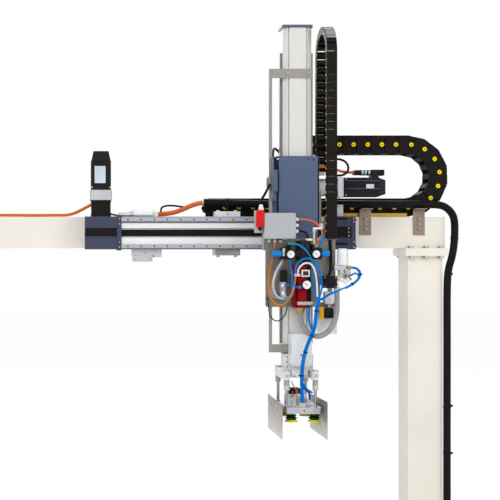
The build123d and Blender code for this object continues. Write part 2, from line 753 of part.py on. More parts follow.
# Sheet-metal cover round the vertical axis, open at the back and below
with BuildPart() as z_cover:
    left, right = carriage_x - cover_left, carriage_x + cover_right
    cover_back = lift_back
    with BuildSketch(Plane.XY.offset(cover_bottom)):
        with Locations(((left + right) / 2, (cover_back - cover_front) / 2)):
            Rectangle(right - left, cover_back + cover_front)
    extrude(amount=cover_top - cover_bottom)
    fillet(edges().filter_by(Axis.Z).group_by(Axis.Y)[0], cover_radius)
    block((left + cover_wall, cover_wall - cover_front, cover_bottom), (right - cover_wall, cover_back,
          cover_top - cover_wall), mode=Mode.SUBTRACT)
    opening = lift_width / 2 + lift_rail_height + 3
    block((carriage_x - opening, -lift_front - 4, cover_top - 3),
          (carriage_x + opening, cover_back, cover_top + 1),
          mode=Mode.SUBTRACT)
    block((left - sensor_strip, -cover_front + 6, cover_bottom + 162),
          (left, cover_back - 25, cover_top - 21))
    block((left - sensor_block, -cover_front - 20, cover_top - 156), (left, -cover_front + 6, cover_top - 61))

# Runner blocks on the rails of the vertical profile
with BuildPart() as z_bearing_blocks:
    for block_z in (carriage_plate_bottom + 80, housing_top - 40):
        with BuildSketch(Plane.XY.offset(block_z - lift_block_length / 2)):
            for side in (-1, 1):
                inner = lift_width / 2 + lift_block_gap
                with Locations((carriage_x + side * (inner + cheek_inside) / 2, rail_y)):
                    Rectangle(cheek_inside - inner, lift_block_width)
                with Locations((carriage_x + side * (lift_width + lift_rail_height) / 2, rail_y)):
                    Rectangle(lift_rail_height + 2 * flat_gap, lift_rail_width + 2 * flat_gap,
                              mode=Mode.SUBTRACT)
        extrude(amount=lift_block_length)

# Gearbox and servo motor of the vertical axis, lying along X behind the chain
gearbox_left = carriage_x + housing_side
gearbox_right = gearbox_left + lift_gearbox_length
with BuildPart() as z_gearbox:
    with BuildSketch(Plane.YZ.offset(gearbox_left)):
        with Locations((drive_y, drive_z)):
            RectangleRounded(lift_gearbox_width, lift_gearbox_width, 8)
    extrude(amount=14)
    rod(((gearbox_left + gearbox_right) / 2, drive_y, drive_z), lift_gearbox_width * 0.45,
        lift_gearbox_length,
        Axis.X)
    with BuildSketch(Plane.YZ.offset(gearbox_right)):
        with Locations((drive_y, drive_z)):
            RectangleRounded(lift_gearbox_width + 2, lift_gearbox_width + 2, 4)
    extrude(amount=lift_adapter_length)
    block((gearbox_right - 42, drive_y - 41, drive_z), (gearbox_right - 14, drive_y - 25, drive_z + 60))

lift_motor_width = lift_gearbox_width - 2
lift_motor_left = gearbox_right + lift_adapter_length
z_servo = servo_motor(lift_motor_width, lift_motor_length, lift_motor_cap, 180)
with BuildPart() as z_motor:
    with Locations(Location(Plane(origin=(lift_motor_left, drive_y, drive_z), x_dir=(0, 0, -1),
                                  z_dir=(1, 0, 0)))):
        add(z_servo.part)

# Brackets that hold the chains' ends to the carriage housing, and a guide strip for the vertical chain
x_chain_bottom = x_chain_upper_z - x_chain_height / 2
last_joint = x_chain_end - x_chain_pitch * upper_links
with BuildPart() as chain_brackets:
    plate = 6.0
    left, right = last_joint - 50, last_joint + 20
    with BuildSketch(Plane.YZ.offset(left)):
        with BuildLine():
            Polyline((box_back, drive_z - 40), (box_back, x_chain_bottom),
                     (x_chain_width / 2, x_chain_bottom),
                     (x_chain_width / 2, x_chain_bottom - plate), (box_back + plate, x_chain_bottom - plate),
                     (box_back + plate, drive_z - 40), close=True)
        make_face()
    extrude(amount=right - left)
    fixed_right = z_chain_x + z_chain_width / 2
    side_x = carriage_x + housing_side
    with BuildSketch(Plane.XZ.offset(-z_rear_y - z_chain_height / 2)):
        with BuildLine():
            Polyline((side_x, drive_z + 45), (side_x + 4, drive_z + 45), (side_x + 4, z_fixed_low - 14),
                     (fixed_right, z_fixed_low - 14), (fixed_right, z_fixed_low - 0.5),
                     (side_x + 4, z_fixed_low - 0.5), (side_x + 4, housing_top), (side_x, housing_top),
                     close=True)
        make_face()
    extrude(amount=-z_chain_height)
    guide_left = carriage_x + cover_right
    block((guide_left, -cover_front + 51, cover_bottom + 65), (guide_left + chain_guide, -cover_front + 85,
          cover_bottom + 209))

# Vertical profile: bevelled front edges, two fastening grooves and hollow chambers
with BuildPart() as z_profile:
    half = lift_width / 2
    with BuildSketch(Plane.XY.offset(lift_bottom)):
        with BuildLine():
            Polyline((carriage_x - half, lift_back), (carriage_x + half, lift_back),
                     (carriage_x + half, -lift_front + lift_bevel_y),
                     (carriage_x + half - lift_bevel_x, -lift_front),
                     (carriage_x - half + lift_bevel_x, -lift_front),
                     (carriage_x - half, -lift_front + lift_bevel_y),
                     close=True)
        make_face()
        for side in (-1, 1):
            with Locations((carriage_x + side * (lift_groove_x - lift_groove), -lift_front + 5)):
                Rectangle(lift_groove, 10, mode=Mode.SUBTRACT)
            with Locations((carriage_x + side * 45, lift_back - 5)):
                Rectangle(8, 10, mode=Mode.SUBTRACT)
        with Locations((carriage_x, (lift_back - lift_front) / 2 + 4)):
            Rectangle(lift_width - 5 * lift_wall, lift_depth - 5 * lift_wall, mode=Mode.SUBTRACT)
    extrude(amount=lift_top - lift_bottom)

with BuildPart() as z_rails:
    with BuildSketch(Plane.XY.offset(lift_rail_bottom)):
        for side in (-1, 1):
            with Locations((carriage_x + side * (lift_width + lift_rail_height) / 2, rail_y)):
                Rectangle(lift_rail_height, lift_rail_width)
    extrude(amount=lift_rail_top - lift_rail_bottom)

# End caps of the vertical profile
with BuildPart() as z_caps:
    for base_z, tall in ((lift_top, cap_thick), (lift_bottom - 8, 8)):
        rim = cap_rim if base_z > lift_bottom else 0
        with BuildSketch(Plane.XY.offset(base_z)):
            with Locations((carriage_x, (lift_back - lift_front) / 2)):
                RectangleRounded(lift_width + 2 * rim, lift_depth + 2 * rim, 10)
        extrude(amount=tall)

# Guard frame: a bent strip down the left side, screwed to the profile's front at both ends
guard_plate = 4.0
guard_front = lift_front + guard_plate
guard_left = carriage_x - 127
guard_bar = 14.0
guard_low, guard_low_strip = lift_bottom - 1, 36.0
guard_high, guard_high_strip = lift_top - 182, 41.0
guard_low_end, guard_high_end = carriage_x - 28, carriage_x + 66
high_screw_z = guard_high - guard_high_strip / 2
low_screw_z = guard_low + guard_low_strip / 2
guard_screws = ((carriage_x - 45, high_screw_z), (carriage_x + 47, high_screw_z),
                (carriage_x - 50, low_screw_z))
cam_width, cam_height, cam_thick = 22.0, 48.0, 13.0
with BuildPart() as guard_frame:
    with BuildSketch(Plane.XZ.offset(lift_front)):
        with BuildLine():
            Polyline((guard_left, guard_low), (guard_low_end, guard_low),
                     (guard_low_end, guard_low + guard_low_strip),
                     (guard_left + guard_bar, guard_low + guard_low_strip),
                     (guard_left + guard_bar, guard_high - guard_high_strip),
                     (guard_high_end, guard_high - guard_high_strip), (guard_high_end, guard_high),
                     (guard_left, guard_high), close=True)
        make_face()
    extrude(amount=guard_plate)
    for screw_x, screw_z in guard_screws:
        rod((screw_x, -guard_front - 2, screw_z), 7, 4, Axis.Y)
    with BuildSketch(Plane.XZ.offset(guard_front)):
        with Locations((guard_left - 1, drive_z + 13)):
            Rectangle(cam_width, cam_height)
        chamfer(vertices(), 6)
    extrude(amount=cam_thick)

# Mounting plate of the pneumatics, on two spacer bars in front of the profile, with a thin panel below it
valve_plate_back = lift_front + 27
valve_plate_thick = 4.0
valve_front = valve_plate_back + valve_plate_thick
plate_bottom, plate_step, plate_notch, plate_top = 1042.0, 1137.0, 1334.0, 1440.0
plate_left, plate_step_right, plate_right = carriage_x - 147, carriage_x + 92, carriage_x + 159
left_arm, right_arm = 42.0, 52.0
spacer_side, spacer_width = 44.0, 20.0
panel_low, panel_left, panel_right = 923.0, carriage_x + 79, carriage_x + 166
panel_thick = 2.0
with BuildPart() as valve_plate:
    with BuildSketch(Plane.XZ.offset(valve_plate_back)):
        with BuildLine():
            Polyline((plate_left, plate_bottom), (plate_step_right, plate_bottom),
                     (plate_step_right, plate_step),
                     (plate_right, plate_step), (plate_right, plate_top),
                     (plate_right - right_arm, plate_top),
                     (plate_right - right_arm, plate_notch), (plate_left + left_arm, plate_notch),
                     (plate_left + left_arm, plate_top), (plate_left, plate_top), close=True)
        make_face()
        fillet(vertices().group_by(Axis.Y)[0], 8)
    extrude(amount=valve_plate_thick)
    for side in (-1, 1):
        centre = carriage_x + side * spacer_side
        block((centre - spacer_width / 2, -valve_plate_back, plate_bottom + 18),
              (centre + spacer_width / 2, -lift_front, plate_notch - 14))
    block((panel_left, -valve_plate_back, panel_low),
          (panel_right, -valve_plate_back + panel_thick, plate_bottom + 20))

# Junction box with its lid, standing off the plate by four feet in front of the cover
box_left, box_right = -814.0, -678.0
box_bottom, box_top = 1339.5, 1451.0
box_rear = 430.0
box_deep = 50.0
lid_deep = 8.0
with BuildPart() as junction_box:
    with BuildSketch(Plane.XZ.offset(box_rear)):
        with Locations(((box_left + box_right) / 2, (box_bottom + box_top) / 2)):
            RectangleRounded(box_right - box_left, box_top - box_bottom, 6)
    extrude(amount=box_deep - lid_deep)
    with BuildSketch(Plane.XZ.offset(box_rear + box_deep - lid_deep)):
        with Locations(((box_left + box_right) / 2, (box_bottom + box_top) / 2)):
            RectangleRounded(box_right - box_left - 8, box_top - box_bottom - 8, 4)
    extrude(amount=-(box_deep - lid_deep - 4), mode=Mode.SUBTRACT)
    for foot_z in (box_bottom + 15.5, box_top - 26):
        rod((plate_left + left_arm / 2, -(valve_front + box_rear) / 2, foot_z), 6, box_rear - valve_front,
            Axis.Y)
    gland_y = -(box_rear + 22)
    gland_places = [Vector(box_right, gland_y, box_top - drop) for drop in (27, 53, 79)]
    for place in gland_places:
        rod(place + Vector(4, 0, 0), 9, 8, Axis.X)
        rod(place + Vector(12, 0, 0), 7, 8, Axis.X)
    for under_x in (box_left + 24, box_left + 49, box_left + 74):
        rod((under_x, gland_y, box_bottom - 8), 8, 16)

with BuildPart() as junction_box_lid:
    with BuildSketch(Plane.XZ.offset(box_rear + box_deep - lid_deep)):
        with Locations(((box_left + box_right) / 2, (box_bottom + box_top) / 2)):
            RectangleRounded(box_right - box_left, box_top - box_bottom, 6)
    extrude(amount=lid_deep)
    chamfer(faces().sort_by(Axis.Y)[0].edges(), 1.5)
    with BuildSketch(Plane.XZ.offset(box_rear + box_deep)):
        with Locations(((box_left + box_right) / 2, (box_bottom + box_top) / 2)):
            with GridLocations(box_right - box_left - 16, box_top - box_bottom - 16, 2, 2):
                Circle(4)
    extrude(amount=-2, mode=Mode.SUBTRACT)

# Limit switch beside the box: a red body on a pale angle, with its cable gland on top
switch_width, switch_height, switch_deep = 33.0, 73.0, 34.0
switch_x = box_left - switch_width / 2 - 0.5
switch_z = (box_bottom + box_top) / 2 + 31.75
switch_rear = box_rear + 22
switch_y = -switch_rear - switch_deep / 2
switch_top, switch_bottom = switch_z + switch_height / 2, switch_z - switch_height / 2
with BuildPart() as limit_switch:
    with BuildSketch(Plane.XZ.offset(switch_rear)):
        with Locations((switch_x, switch_z)):
            RectangleRounded(switch_width, switch_height, 5)
    extrude(amount=switch_deep)
    fillet(faces().sort_by(Axis.Y)[0].edges(), 3)
    rod((switch_x + 4, switch_y, switch_top + 5.5), 12, 14)
    rod((switch_x + 4, switch_y, switch_top + 17.5), 9, 12)
    rod((switch_x, switch_y, switch_bottom - 8.5), 7, 16)
    block((switch_x - 23, -switch_rear, switch_bottom - 25.5), (box_left, -switch_rear + 4, switch_top - 1.5))

# Pressure regulators: a body with a bonnet for the knob, on the mounting plate
knob_z = 1275.5
knob_y = -455.0
left_outer, left_inner = -736.0, -706.0
right_inner, right_outer = -594.0, -565.0
regulator_half = 24.0
bonnet_wall, bonnet_rise = 10.0, 40.0
crossbar_half = 14.0
filter_x, filter_y, filter_radius = -637.0, -446.0, 30.0
filter_low, filter_high = 1240.0, 1332.0
with BuildPart() as regulators:
    for low_x, high_x, inner_x, side in ((left_outer, left_inner, left_inner, -1),
                                         (right_inner, right_outer, right_inner, 1)):
        block((low_x, knob_y - 20, knob_z - regulator_half), (high_x, -valve_front, knob_z + regulator_half))
        wall_x = inner_x - side * bonnet_wall
        block((min(inner_x, wall_x), knob_y - 14, knob_z - regulator_half),
              (max(inner_x, wall_x), -valve_front, knob_z + bonnet_rise))
    rod((right_inner + 14, knob_y, knob_z + 30), 6, 12)
    rod((filter_x, filter_y, (filter_low + filter_high) / 2), filter_radius, filter_high - filter_low)
    block((filter_x - filter_radius, filter_y, filter_low + 12),
          (filter_x + filter_radius, -valve_front, filter_high - 4))
    block((left_inner, knob_y - 12, knob_z - crossbar_half),
          (right_inner, -valve_front, knob_z + crossbar_half))


def gauge(centre_x, centre_z, back, front, radius):
    """A pressure gauge facing the front: stem, case and raised rim round a sunk dial."""
    rod((centre_x, (back + front + 8) / 2, centre_z), 5, back - front - 8, Axis.Y)
    rod((centre_x, front + 8, centre_z), radius, 16, Axis.Y)
    rod((centre_x, front + 1, centre_z), radius - 2.5, 2, Axis.Y, mode=Mode.SUBTRACT)


# Pressure gauges: two on the regulators, one on the ejector
ejector_front = 482.0
gauge_radius, large_gauge_radius = 19.0, 21.0
gauge_front = knob_y - 45
with BuildPart() as gauges:
    gauge(left_inner + 3, knob_z - 3.2, knob_y - 20, gauge_front, gauge_radius)
    gauge(right_inner + 1, knob_z - 2.1, knob_y - 20, gauge_front, gauge_radius)
    gauge(-635.5, 1141, -ejector_front, -ejector_front - 23, large_gauge_radius)


def knob(low_x, high_x):
    """An adjusting knob: a ribbed cap on the regulator's bonnet, turned about X."""
    with BuildPart() as made:
        middle = (low_x + high_x) / 2
        with BuildSketch(Plane.YZ.offset(low_x)):
            with Locations((knob_y, knob_z)):
                RegularPolygon(15, 18)
        extrude(amount=high_x - low_x)
        chamfer(faces().sort_by(Axis.X)[0].edges(), 2)
        chamfer(faces().sort_by(Axis.X)[-1].edges(), 2)
        rod((middle, knob_y, knob_z), 9, high_x - low_x, Axis.X)
    return made


knob_left = knob(left_outer - 40, left_outer - flat_gap)
knob_right = knob(right_outer + flat_gap, right_outer + 36)

# Vacuum ejector: a red body with dark side covers, a display frame, a clamp and a silencer below
ejector_low, ejector_high = 1040.0, 1226.0
ejector_x, ejector_width = -650.0, 39.0
ejector_left, ejector_right = ejector_x - ejector_width / 2, ejector_x + ejector_width / 2
side_cover_front = 455.0
silencer_x, silencer_y = -652.0, -448.0
silencer_low = ejector_low - 30
with BuildPart() as vacuum_ejector:
    with BuildSketch(Plane.XY.offset(ejector_low)):
        with Locations((ejector_x, -(valve_front + ejector_front) / 2)):
            RectangleRounded(ejector_width, ejector_front - valve_front, 8)
    extrude(amount=ejector_high - ejector_low)
    block((ejector_left - 15.5, -side_cover_front, ejector_low), (ejector_left, -valve_front, ejector_high))
    block((ejector_right, -side_cover_front, ejector_low), (ejector_right + 23.5, -valve_front, ejector_high))
    block((ejector_x - 5, -ejector_front - 8, ejector_high - 51),
          (ejector_x + 30, -ejector_front, ejector_high - 21))
    block((ejector_x - 22, -ejector_front - 6, ejector_low + 13),
          (ejector_x + 56, -ejector_front + 42, ejector_low + 28))
    block((ejector_x - 38, -ejector_front - 14, ejector_high - 50),
          (ejector_x - 12, -ejector_front, ejector_high - 38))
    block((ejector_x - 18, -ejector_front - 12, ejector_low + 84),
          (ejector_x - 7, -ejector_front, ejector_low + 96))
    with BuildSketch(Plane.XY.offset(ejector_low)):
        with Locations((silencer_x, silencer_y)):
            Circle(22)
    with BuildSketch(Plane.XY.offset(silencer_low)):
        with Locations((silencer_x, silencer_y)):
            Circle(14)
    loft()

# Filter with its clear bowl upside down on the valve body, and the fittings beside it
bowl_x, bowl_y, bowl_radius = -465.5, -430.0, 26.0
bowl_low, bowl_tall = 1224.0, 74.0
fitting_z = 1188.0
valve_left = -555.0
valve_low, valve_high = 1125.0, 1177.0
mid_valve_low, mid_valve_high = 1055.0, 1110.0
low_valve_low, low_valve_high = 994.0, 1038.0
with BuildPart() as filter_unit:
    block((bowl_x - 38.5, bowl_y - 15, bowl_low - 22), (bowl_x + 13.5, -valve_front, bowl_low))
    with BuildSketch(Plane.XY.offset(bowl_low)):
        with Locations((bowl_x, bowl_y)):
            Circle(bowl_radius)
    extrude(amount=bowl_tall)
    fillet(faces().sort_by(Axis.Z)[-1].edges(), 6)
    rod((bowl_x - 4.5, bowl_y, fitting_z + 12), 16, 24)
    rod((bowl_x + 7.5, bowl_y, fitting_z), 13, 52, Axis.X)
    rod((bowl_x + 25.5, bowl_y, fitting_z + 16), 10, 36)
    rod((bowl_x + 28.5, bowl_y - 8, fitting_z + 26), 8, 14, Axis.X)
    rod((valve_left + 63, bowl_y - 10, valve_low - 6), 15, 18)
    block((valve_left, -side_cover_front, valve_low), (valve_left + 61, -valve_front, valve_high))
    block((valve_left + 7, -450, mid_valve_low), (valve_left + 48, -valve_plate_back, mid_valve_high))
    block((valve_left + 5, -448, low_valve_low), (valve_left + 47, -valve_plate_back, low_valve_high))
    block((valve_left + 25, bowl_y, low_valve_high), (valve_left + 45, bowl_y + 10, mid_valve_low))
    block((valve_left + 25, bowl_y, mid_valve_high), (valve_left + 45, bowl_y + 10, valve_low))

# Valve block at the left: a valve body and a small regulator below it
left_valve_x, left_valve_z = -726.0, 1152.0
tee_z = 1084.0
with BuildPart() as valve_block:
    block((left_valve_x - 9, -462, left_valve_z), (left_valve_x + 14, -valve_front, left_valve_z + 52))
    chamfer(faces().sort_by(Axis.Y)[0].edges(), 3)
    block((left_valve_x - 16, -448, left_valve_z - 52), (left_valve_x + 15, -valve_front, left_valve_z))
    rod((left_valve_x, -448, left_valve_z - 33), 15, 66)
    rod((left_valve_x, -452, tee_z), 8, 32, Axis.X)
    block((left_valve_x - 14, -474, left_valve_z - 22), (left_valve_x - 2, -448, left_valve_z - 10))

# Gripper yoke: end block, two cheeks, a central drive block and two side bars that hold the rods
gripper_x = -656.0
rod_side = 62.0
rod_front, rod_rear = -480.0, -270.0
rod_radius = 6.5
bar_low, bar_high = 731.0, 766.0
cap_low = lift_bottom - 8
yoke_left, yoke_right = carriage_x - 54, carriage_x + 68
left_cheek, right_cheek = 28.0, 26.0
arm_low, arm_high = lift_bottom - 53, lift_bottom + 85
arm_width, arm_front = 87.0, 473.0
with BuildPart() as gripper_yoke:
    for low_x, high_x in ((yoke_left, yoke_left + left_cheek), (yoke_right - right_cheek, yoke_right)):
        block((low_x, -lift_front, bar_high), (high_x, lift_back, cap_low))
    block((yoke_left, -lift_front, bar_low), (yoke_right, lift_back, bar_high))
    block((yoke_left + 19, -lift_front - 55, bar_low + 4), (yoke_right - 34, -lift_front, bar_high + 21))
    with BuildSketch(Plane.XZ.offset(guard_front)):
        with Locations((carriage_x + 1, (arm_low + arm_high) / 2)):
            RectangleRounded(arm_width, arm_high - arm_low, 4)
    extrude(amount=arm_front - guard_front)
    rod((carriage_x, 3 - arm_front, arm_low + 47), 5, 20, Axis.Y, mode=Mode.SUBTRACT)
    for side in (-1, 1):
        bar_x = gripper_x + side * rod_side
        with BuildSketch(Plane.XY.offset(bar_low)):
            with Locations((bar_x, (rod_front + rod_rear) / 2)):
                SlotCenterToCenter(rod_rear - rod_front, 30, rotation=90)
            with Locations((bar_x, rod_front), (bar_x, rod_rear)):
                Circle(rod_radius, mode=Mode.SUBTRACT)
        extrude(amount=bar_high - bar_low)
    for side in (-1, 1):
        for y in (rod_front, rod_rear):
            rod((gripper_x + side * rod_side, y, (bar_low + bar_high) / 2), rod_radius, 60,
                mode=Mode.SUBTRACT)

# Guide rods with shaft collars, held in the side bars
base_top, base_bottom = 613.0, 585.0
with BuildPart() as guide_rods:
    for side in (-1, 1):
        for y in (rod_front, rod_rear):
            rod_x = gripper_x + side * rod_side
            rod((rod_x, y, (base_top + bar_high) / 2), rod_radius, bar_high - base_top)
            rod((rod_x, y, bar_low - 15), 12, 30)

# Base plate that carries the suction cups
base_x = -648.0
base_width = 152.0
with BuildPart() as gripper_base:
    with BuildSketch(Plane.XY.offset(base_bottom)):
        with Locations((base_x, (rod_front + rod_rear) / 2)):
            RectangleRounded(base_width, rod_rear - rod_front + 40, 6)
            Rectangle(60, 120, mode=Mode.SUBTRACT)
    extrude(amount=base_top - base_bottom)
    rod((base_x + 2, rod_front - 15, (base_top + base_bottom) / 2), 4, 30, Axis.Y, mode=Mode.SUBTRACT)

# Valves and fittings on the base plate
with BuildPart() as gripper_fittings:
    for centre_x, wide, tall in ((-686.5, 41, 51), (-609, 27, 25)):
        block((centre_x - wide / 2, -440, base_top), (centre_x + wide / 2, -400, base_top + tall))
    block((-701, -440, base_top + 51), (-650, -380, base_top + 75))
    block((-700, -360, base_top), (-604, -320, base_top + 40))
    rod((-686, -446, base_top + 60), 5, 12, Axis.Y)
    block((-667, -498, base_top), (-639, -470, base_top + 19))

# Suction cups: bellows with a wide lip, hung below the base plate
cup_x = (-697.0, -597.0)
cup_y = (-470.0, -280.0)
cup_lip_z = 549.0
with BuildPart() as cup:
    with BuildSketch(Plane.XZ):
        with BuildLine():
            Polyline((0, base_bottom), (13, base_bottom), (15, base_bottom - 4), (24, base_bottom - 9),
                     (17, base_bottom - 14), (27, base_bottom - 20), (19, base_bottom - 25), (30, cup_lip_z),
                     (26, cup_lip_z), (13, base_bottom - 24), (8, base_bottom - 8), (0, base_bottom - 8),
                     close=True)
        make_face()
    revolve(axis=Axis.Z)

with BuildPart() as suction_cups:
    with Locations(*[(x, y, 0) for x in cup_x for y in cup_y]):
        add(cup.part)

# Steel side plates on angle brackets, one each side of the load
plate_low, plate_high = 484.0, 645.0
with BuildPart() as side_plates:
    for side, plate_x in ((-1, -752.0), (1, -561.0)):
        with BuildSketch(Plane.YZ.offset(plate_x - 1)):
            with BuildLine():
                Polyline((-568, plate_low), (-208, plate_low), (-208, plate_high - 5),
                         (-568, plate_high - 15 * (side < 0)),
                         close=True)
            make_face()
            fillet(vertices().group_by(Axis.X)[0].sort_by(Axis.Y)[-1], 14)
        extrude(amount=2)
        edge_x = base_x + side * base_width / 2
        inner_x = plate_x - side * 1
        for y in (-450, -300):
            block((min(edge_x, inner_x), y - 15, base_bottom + 4),
                  (max(edge_x, inner_x), y + 15, base_top - 4))


def corner_radii(points):
    """The bend radius at each inner point of a route: as large as its two runs allow."""
    radii = []
    for before, here, after in zip(points, points[1:], points[2:]):
        first, second = Vector(*here) - Vector(*before), Vector(*after) - Vector(*here)
        turn = radians(first.get_angle(second))
        radii.append(0.45 * min(first.length, second.length) / tan(turn / 2))
    return radii


def tube(label, diameter, points):
    """A cord or hose of one diameter along a route of straight runs joined by tangent arcs."""
    radii = corner_radii(points)
    with BuildPart() as made:
        with BuildLine() as route:
            FilletPolyline(*points, radius=radii)
        with BuildSketch(Plane(origin=route.line @ 0, z_dir=route.line % 0)):
            Circle(diameter / 2)
        sweep(path=route.line)
    length = route.wire().length
    expected = pi * diameter ** 2 / 4 * length
    print(f"{label}: length {length:.0f}, tightest radius {min(radii):.0f} = "
          f"{min(radii) / diameter:.1f} diameters, volume ratio {made.part.volume / expected:.3f}")
    return made.part


# Conduit from the chain's fixed end along the beam and down the right column into its foot socket
conduit_z = lip_z + conduit_diameter / 2
conduit_start = -1032.0
conduit_run = tube("conduit", conduit_diameter, [
    (conduit_start, -98, 1512), (-700, -99, 1500), (-420, -97, conduit_z + 3), (-200, -98, conduit_z + 0.5),
    (-60, -98, conduit_z + 1), (59, -98, conduit_z), (92, -98, 1489), (117, -99, 1464), (131, -99, 1431),
    (131, -99, 1345), (122, -96, 1265), (101, -91, 1195), (conduit_x, conduit_y, 1090),
    (conduit_x + 0.5, conduit_y, 880), (conduit_x, conduit_y, 500), (conduit_x, conduit_y, socket_top)])
with BuildPart() as conduit:
    add(conduit_run)

# Motor cables of the horizontal axis: from its two plugs along the beam, and the bundle into the conduit
plug_z = axis_top + gearbox_length + coupling_length + motor_length - motor_cap - plug_depth - plug_length
plug_y = motor_y + motor_width / 2 + plug_line
lead_z = beam_top + 8
motor_cable_runs = [
    tube("power lead", 14, [(drive_x - 15, plug_y, plug_z), (drive_x - 15, plug_y, 1527), (-1541, plug_y, 1508),
                            (-1580, -73, 1488), (-1625, -70, 1464), (-1665, -66, lead_z), (-1730, -60, lead_z + 1),
                            (-1800, -56, lead_z), (-1900, -56, lead_z + 1), (-1985, -56, lead_z + 1)]),
    tube("encoder lead", 10, [(drive_x + 15, plug_y, plug_z), (drive_x + 15, plug_y, 1518),
                              (-1490, -77, 1484),
                              (-1466, -80, 1458), (-1420, -78, 1451), (-1340, -66, 1451),
                              (-1262, -62, 1457)]),
    tube("arch lead", 9, [(-1228, -62, 1455), (-1229, -63, 1478), (-1221, -66, 1494), (-1190, -70, 1499),
                          (-1150, -77, 1496), (-1112, -86, 1488)]),
    tube("cable bundle", 22, [(-1264, -62, 1457), (-1190, -67, 1459), (-1130, -82, 1478), (-1080, -95, 1503),
                              (conduit_start - 5, -98, 1511)]),
]
with BuildPart() as motor_cables:
    for run in motor_cable_runs:
        add(run)

# Lead and hose of the vertical axis's motor, and the sensor's lead over the top of the cover
lift_plug_z = drive_z + lift_motor_width / 2 + plug_line
lift_plug_x = lift_motor_left + lift_motor_length - lift_motor_cap - plug_depth - plug_length
motor_runs = [
    tube("lift motor lead", 12, [(lift_plug_x, drive_y - 15, lift_plug_z), (-400, drive_y - 15, lift_plug_z),
                                 (-432, drive_y - 16, lift_plug_z + 6),
                                 (-462, drive_y - 20, lift_plug_z + 17),
                                 (-500, -248, 1668), (side_x, -248, 1668)]),
    tube("cooling hose", 10, [(side_x, -262, 1684), (-540, -262, 1684), (-500, -262, 1697),
                              (-452, -261, 1701),
                              (-424, -260, 1696), (-404, -259, 1680), (-398, -258, 1658), (-406, -258, 1639),
                              (-422, -258, 1628), (-442, -258, 1626), (-462, -258, 1626)]),
    tube("sensor lead", 11, [(-700, -248, housing_top), (-700, -248, 1712), (-709, -252, 1732),
                             (-726, -268, 1744),
                             (-741, -298, 1746), (-751, -332, 1731), (-757, -360, 1709), (-758.5, -380, 1694),
                             (-758.5, -401, 1692.5), (-759, -420, 1689), (-760, -434, 1676),
                             (-760, -437, 1658),
                             (-760, -437, 1640)]),
]
with BuildPart() as z_motor_cables:
    for run in motor_runs:
        add(run)

# Black leads of the vertical axis: from the cam plate to the limit switch, and from the box to a valve
power_runs = [
    tube("switch lead", 11, [(-780, -402, 1577), (-780, -422, 1577), (-788, -440, 1569), (-799, -454, 1550),
                             (-812, -464, 1528), (-827, -469, 1506), (-827, -469, 1487)]),
    tube("valve lead", 8, [(-662, gland_y, 1372), (-645, gland_y, 1372), (-628, gland_y + 2, 1367),
                           (-620, gland_y + 6, 1352), (-620, gland_y + 6, 1332)]),
    tube("loop wire", 5, [(-792, -valve_front, 1082), (-792, -432, 1082), (-791, -441, 1070),
                          (-790, -441, 1044),
                          (-785, -436, 1012), (-772, -428, 990), (-753, -422, 979), (-733, -414, 984),
                          (-716, -407, 998), (-705, -401, 1022), (-702, -400, 1042), (-702, -400, 1060)]),
]
with BuildPart() as power_cables:
    for run in power_runs:
        add(run)

# Orange leads: from the junction box to the right regulator, and a long loop down the left to the ejector
orange_runs = [
    tube("box lead", 8, [(-662, gland_y, 1424), (-640, gland_y, 1424), (-612, gland_y - 1, 1421),
                         (-584, gland_y - 2, 1408), (-565, gland_y - 3, 1387), (-558, knob_y, 1364),
                         (-566, knob_y, 1342), (-580, knob_y, 1327), (-580, knob_y, knob_z + 36)]),
    tube("left lead", 8, [(-765, gland_y, 1323.5), (-765, gland_y, 1310), (-765, -442, 1297),
                          (-766, -430, 1284),
                          (-768, -427, 1264), (-774, -434, 1243), (-783, -450, 1222), (-791, -468, 1193),
                          (-796, -481, 1159), (-797, -490, 1125), (-791, -495, 1087), (-772, -499, 1058),
                          (-745, -503, 1051), (-720, -506, 1068), (-703, -508, 1098), (-694, -505, 1126),
                          (-687, -497, 1146), (-682, -489, 1162), (-682, -489, 1176)]),
]
with BuildPart() as orange_cables:
    for run in orange_runs:
        add(run)

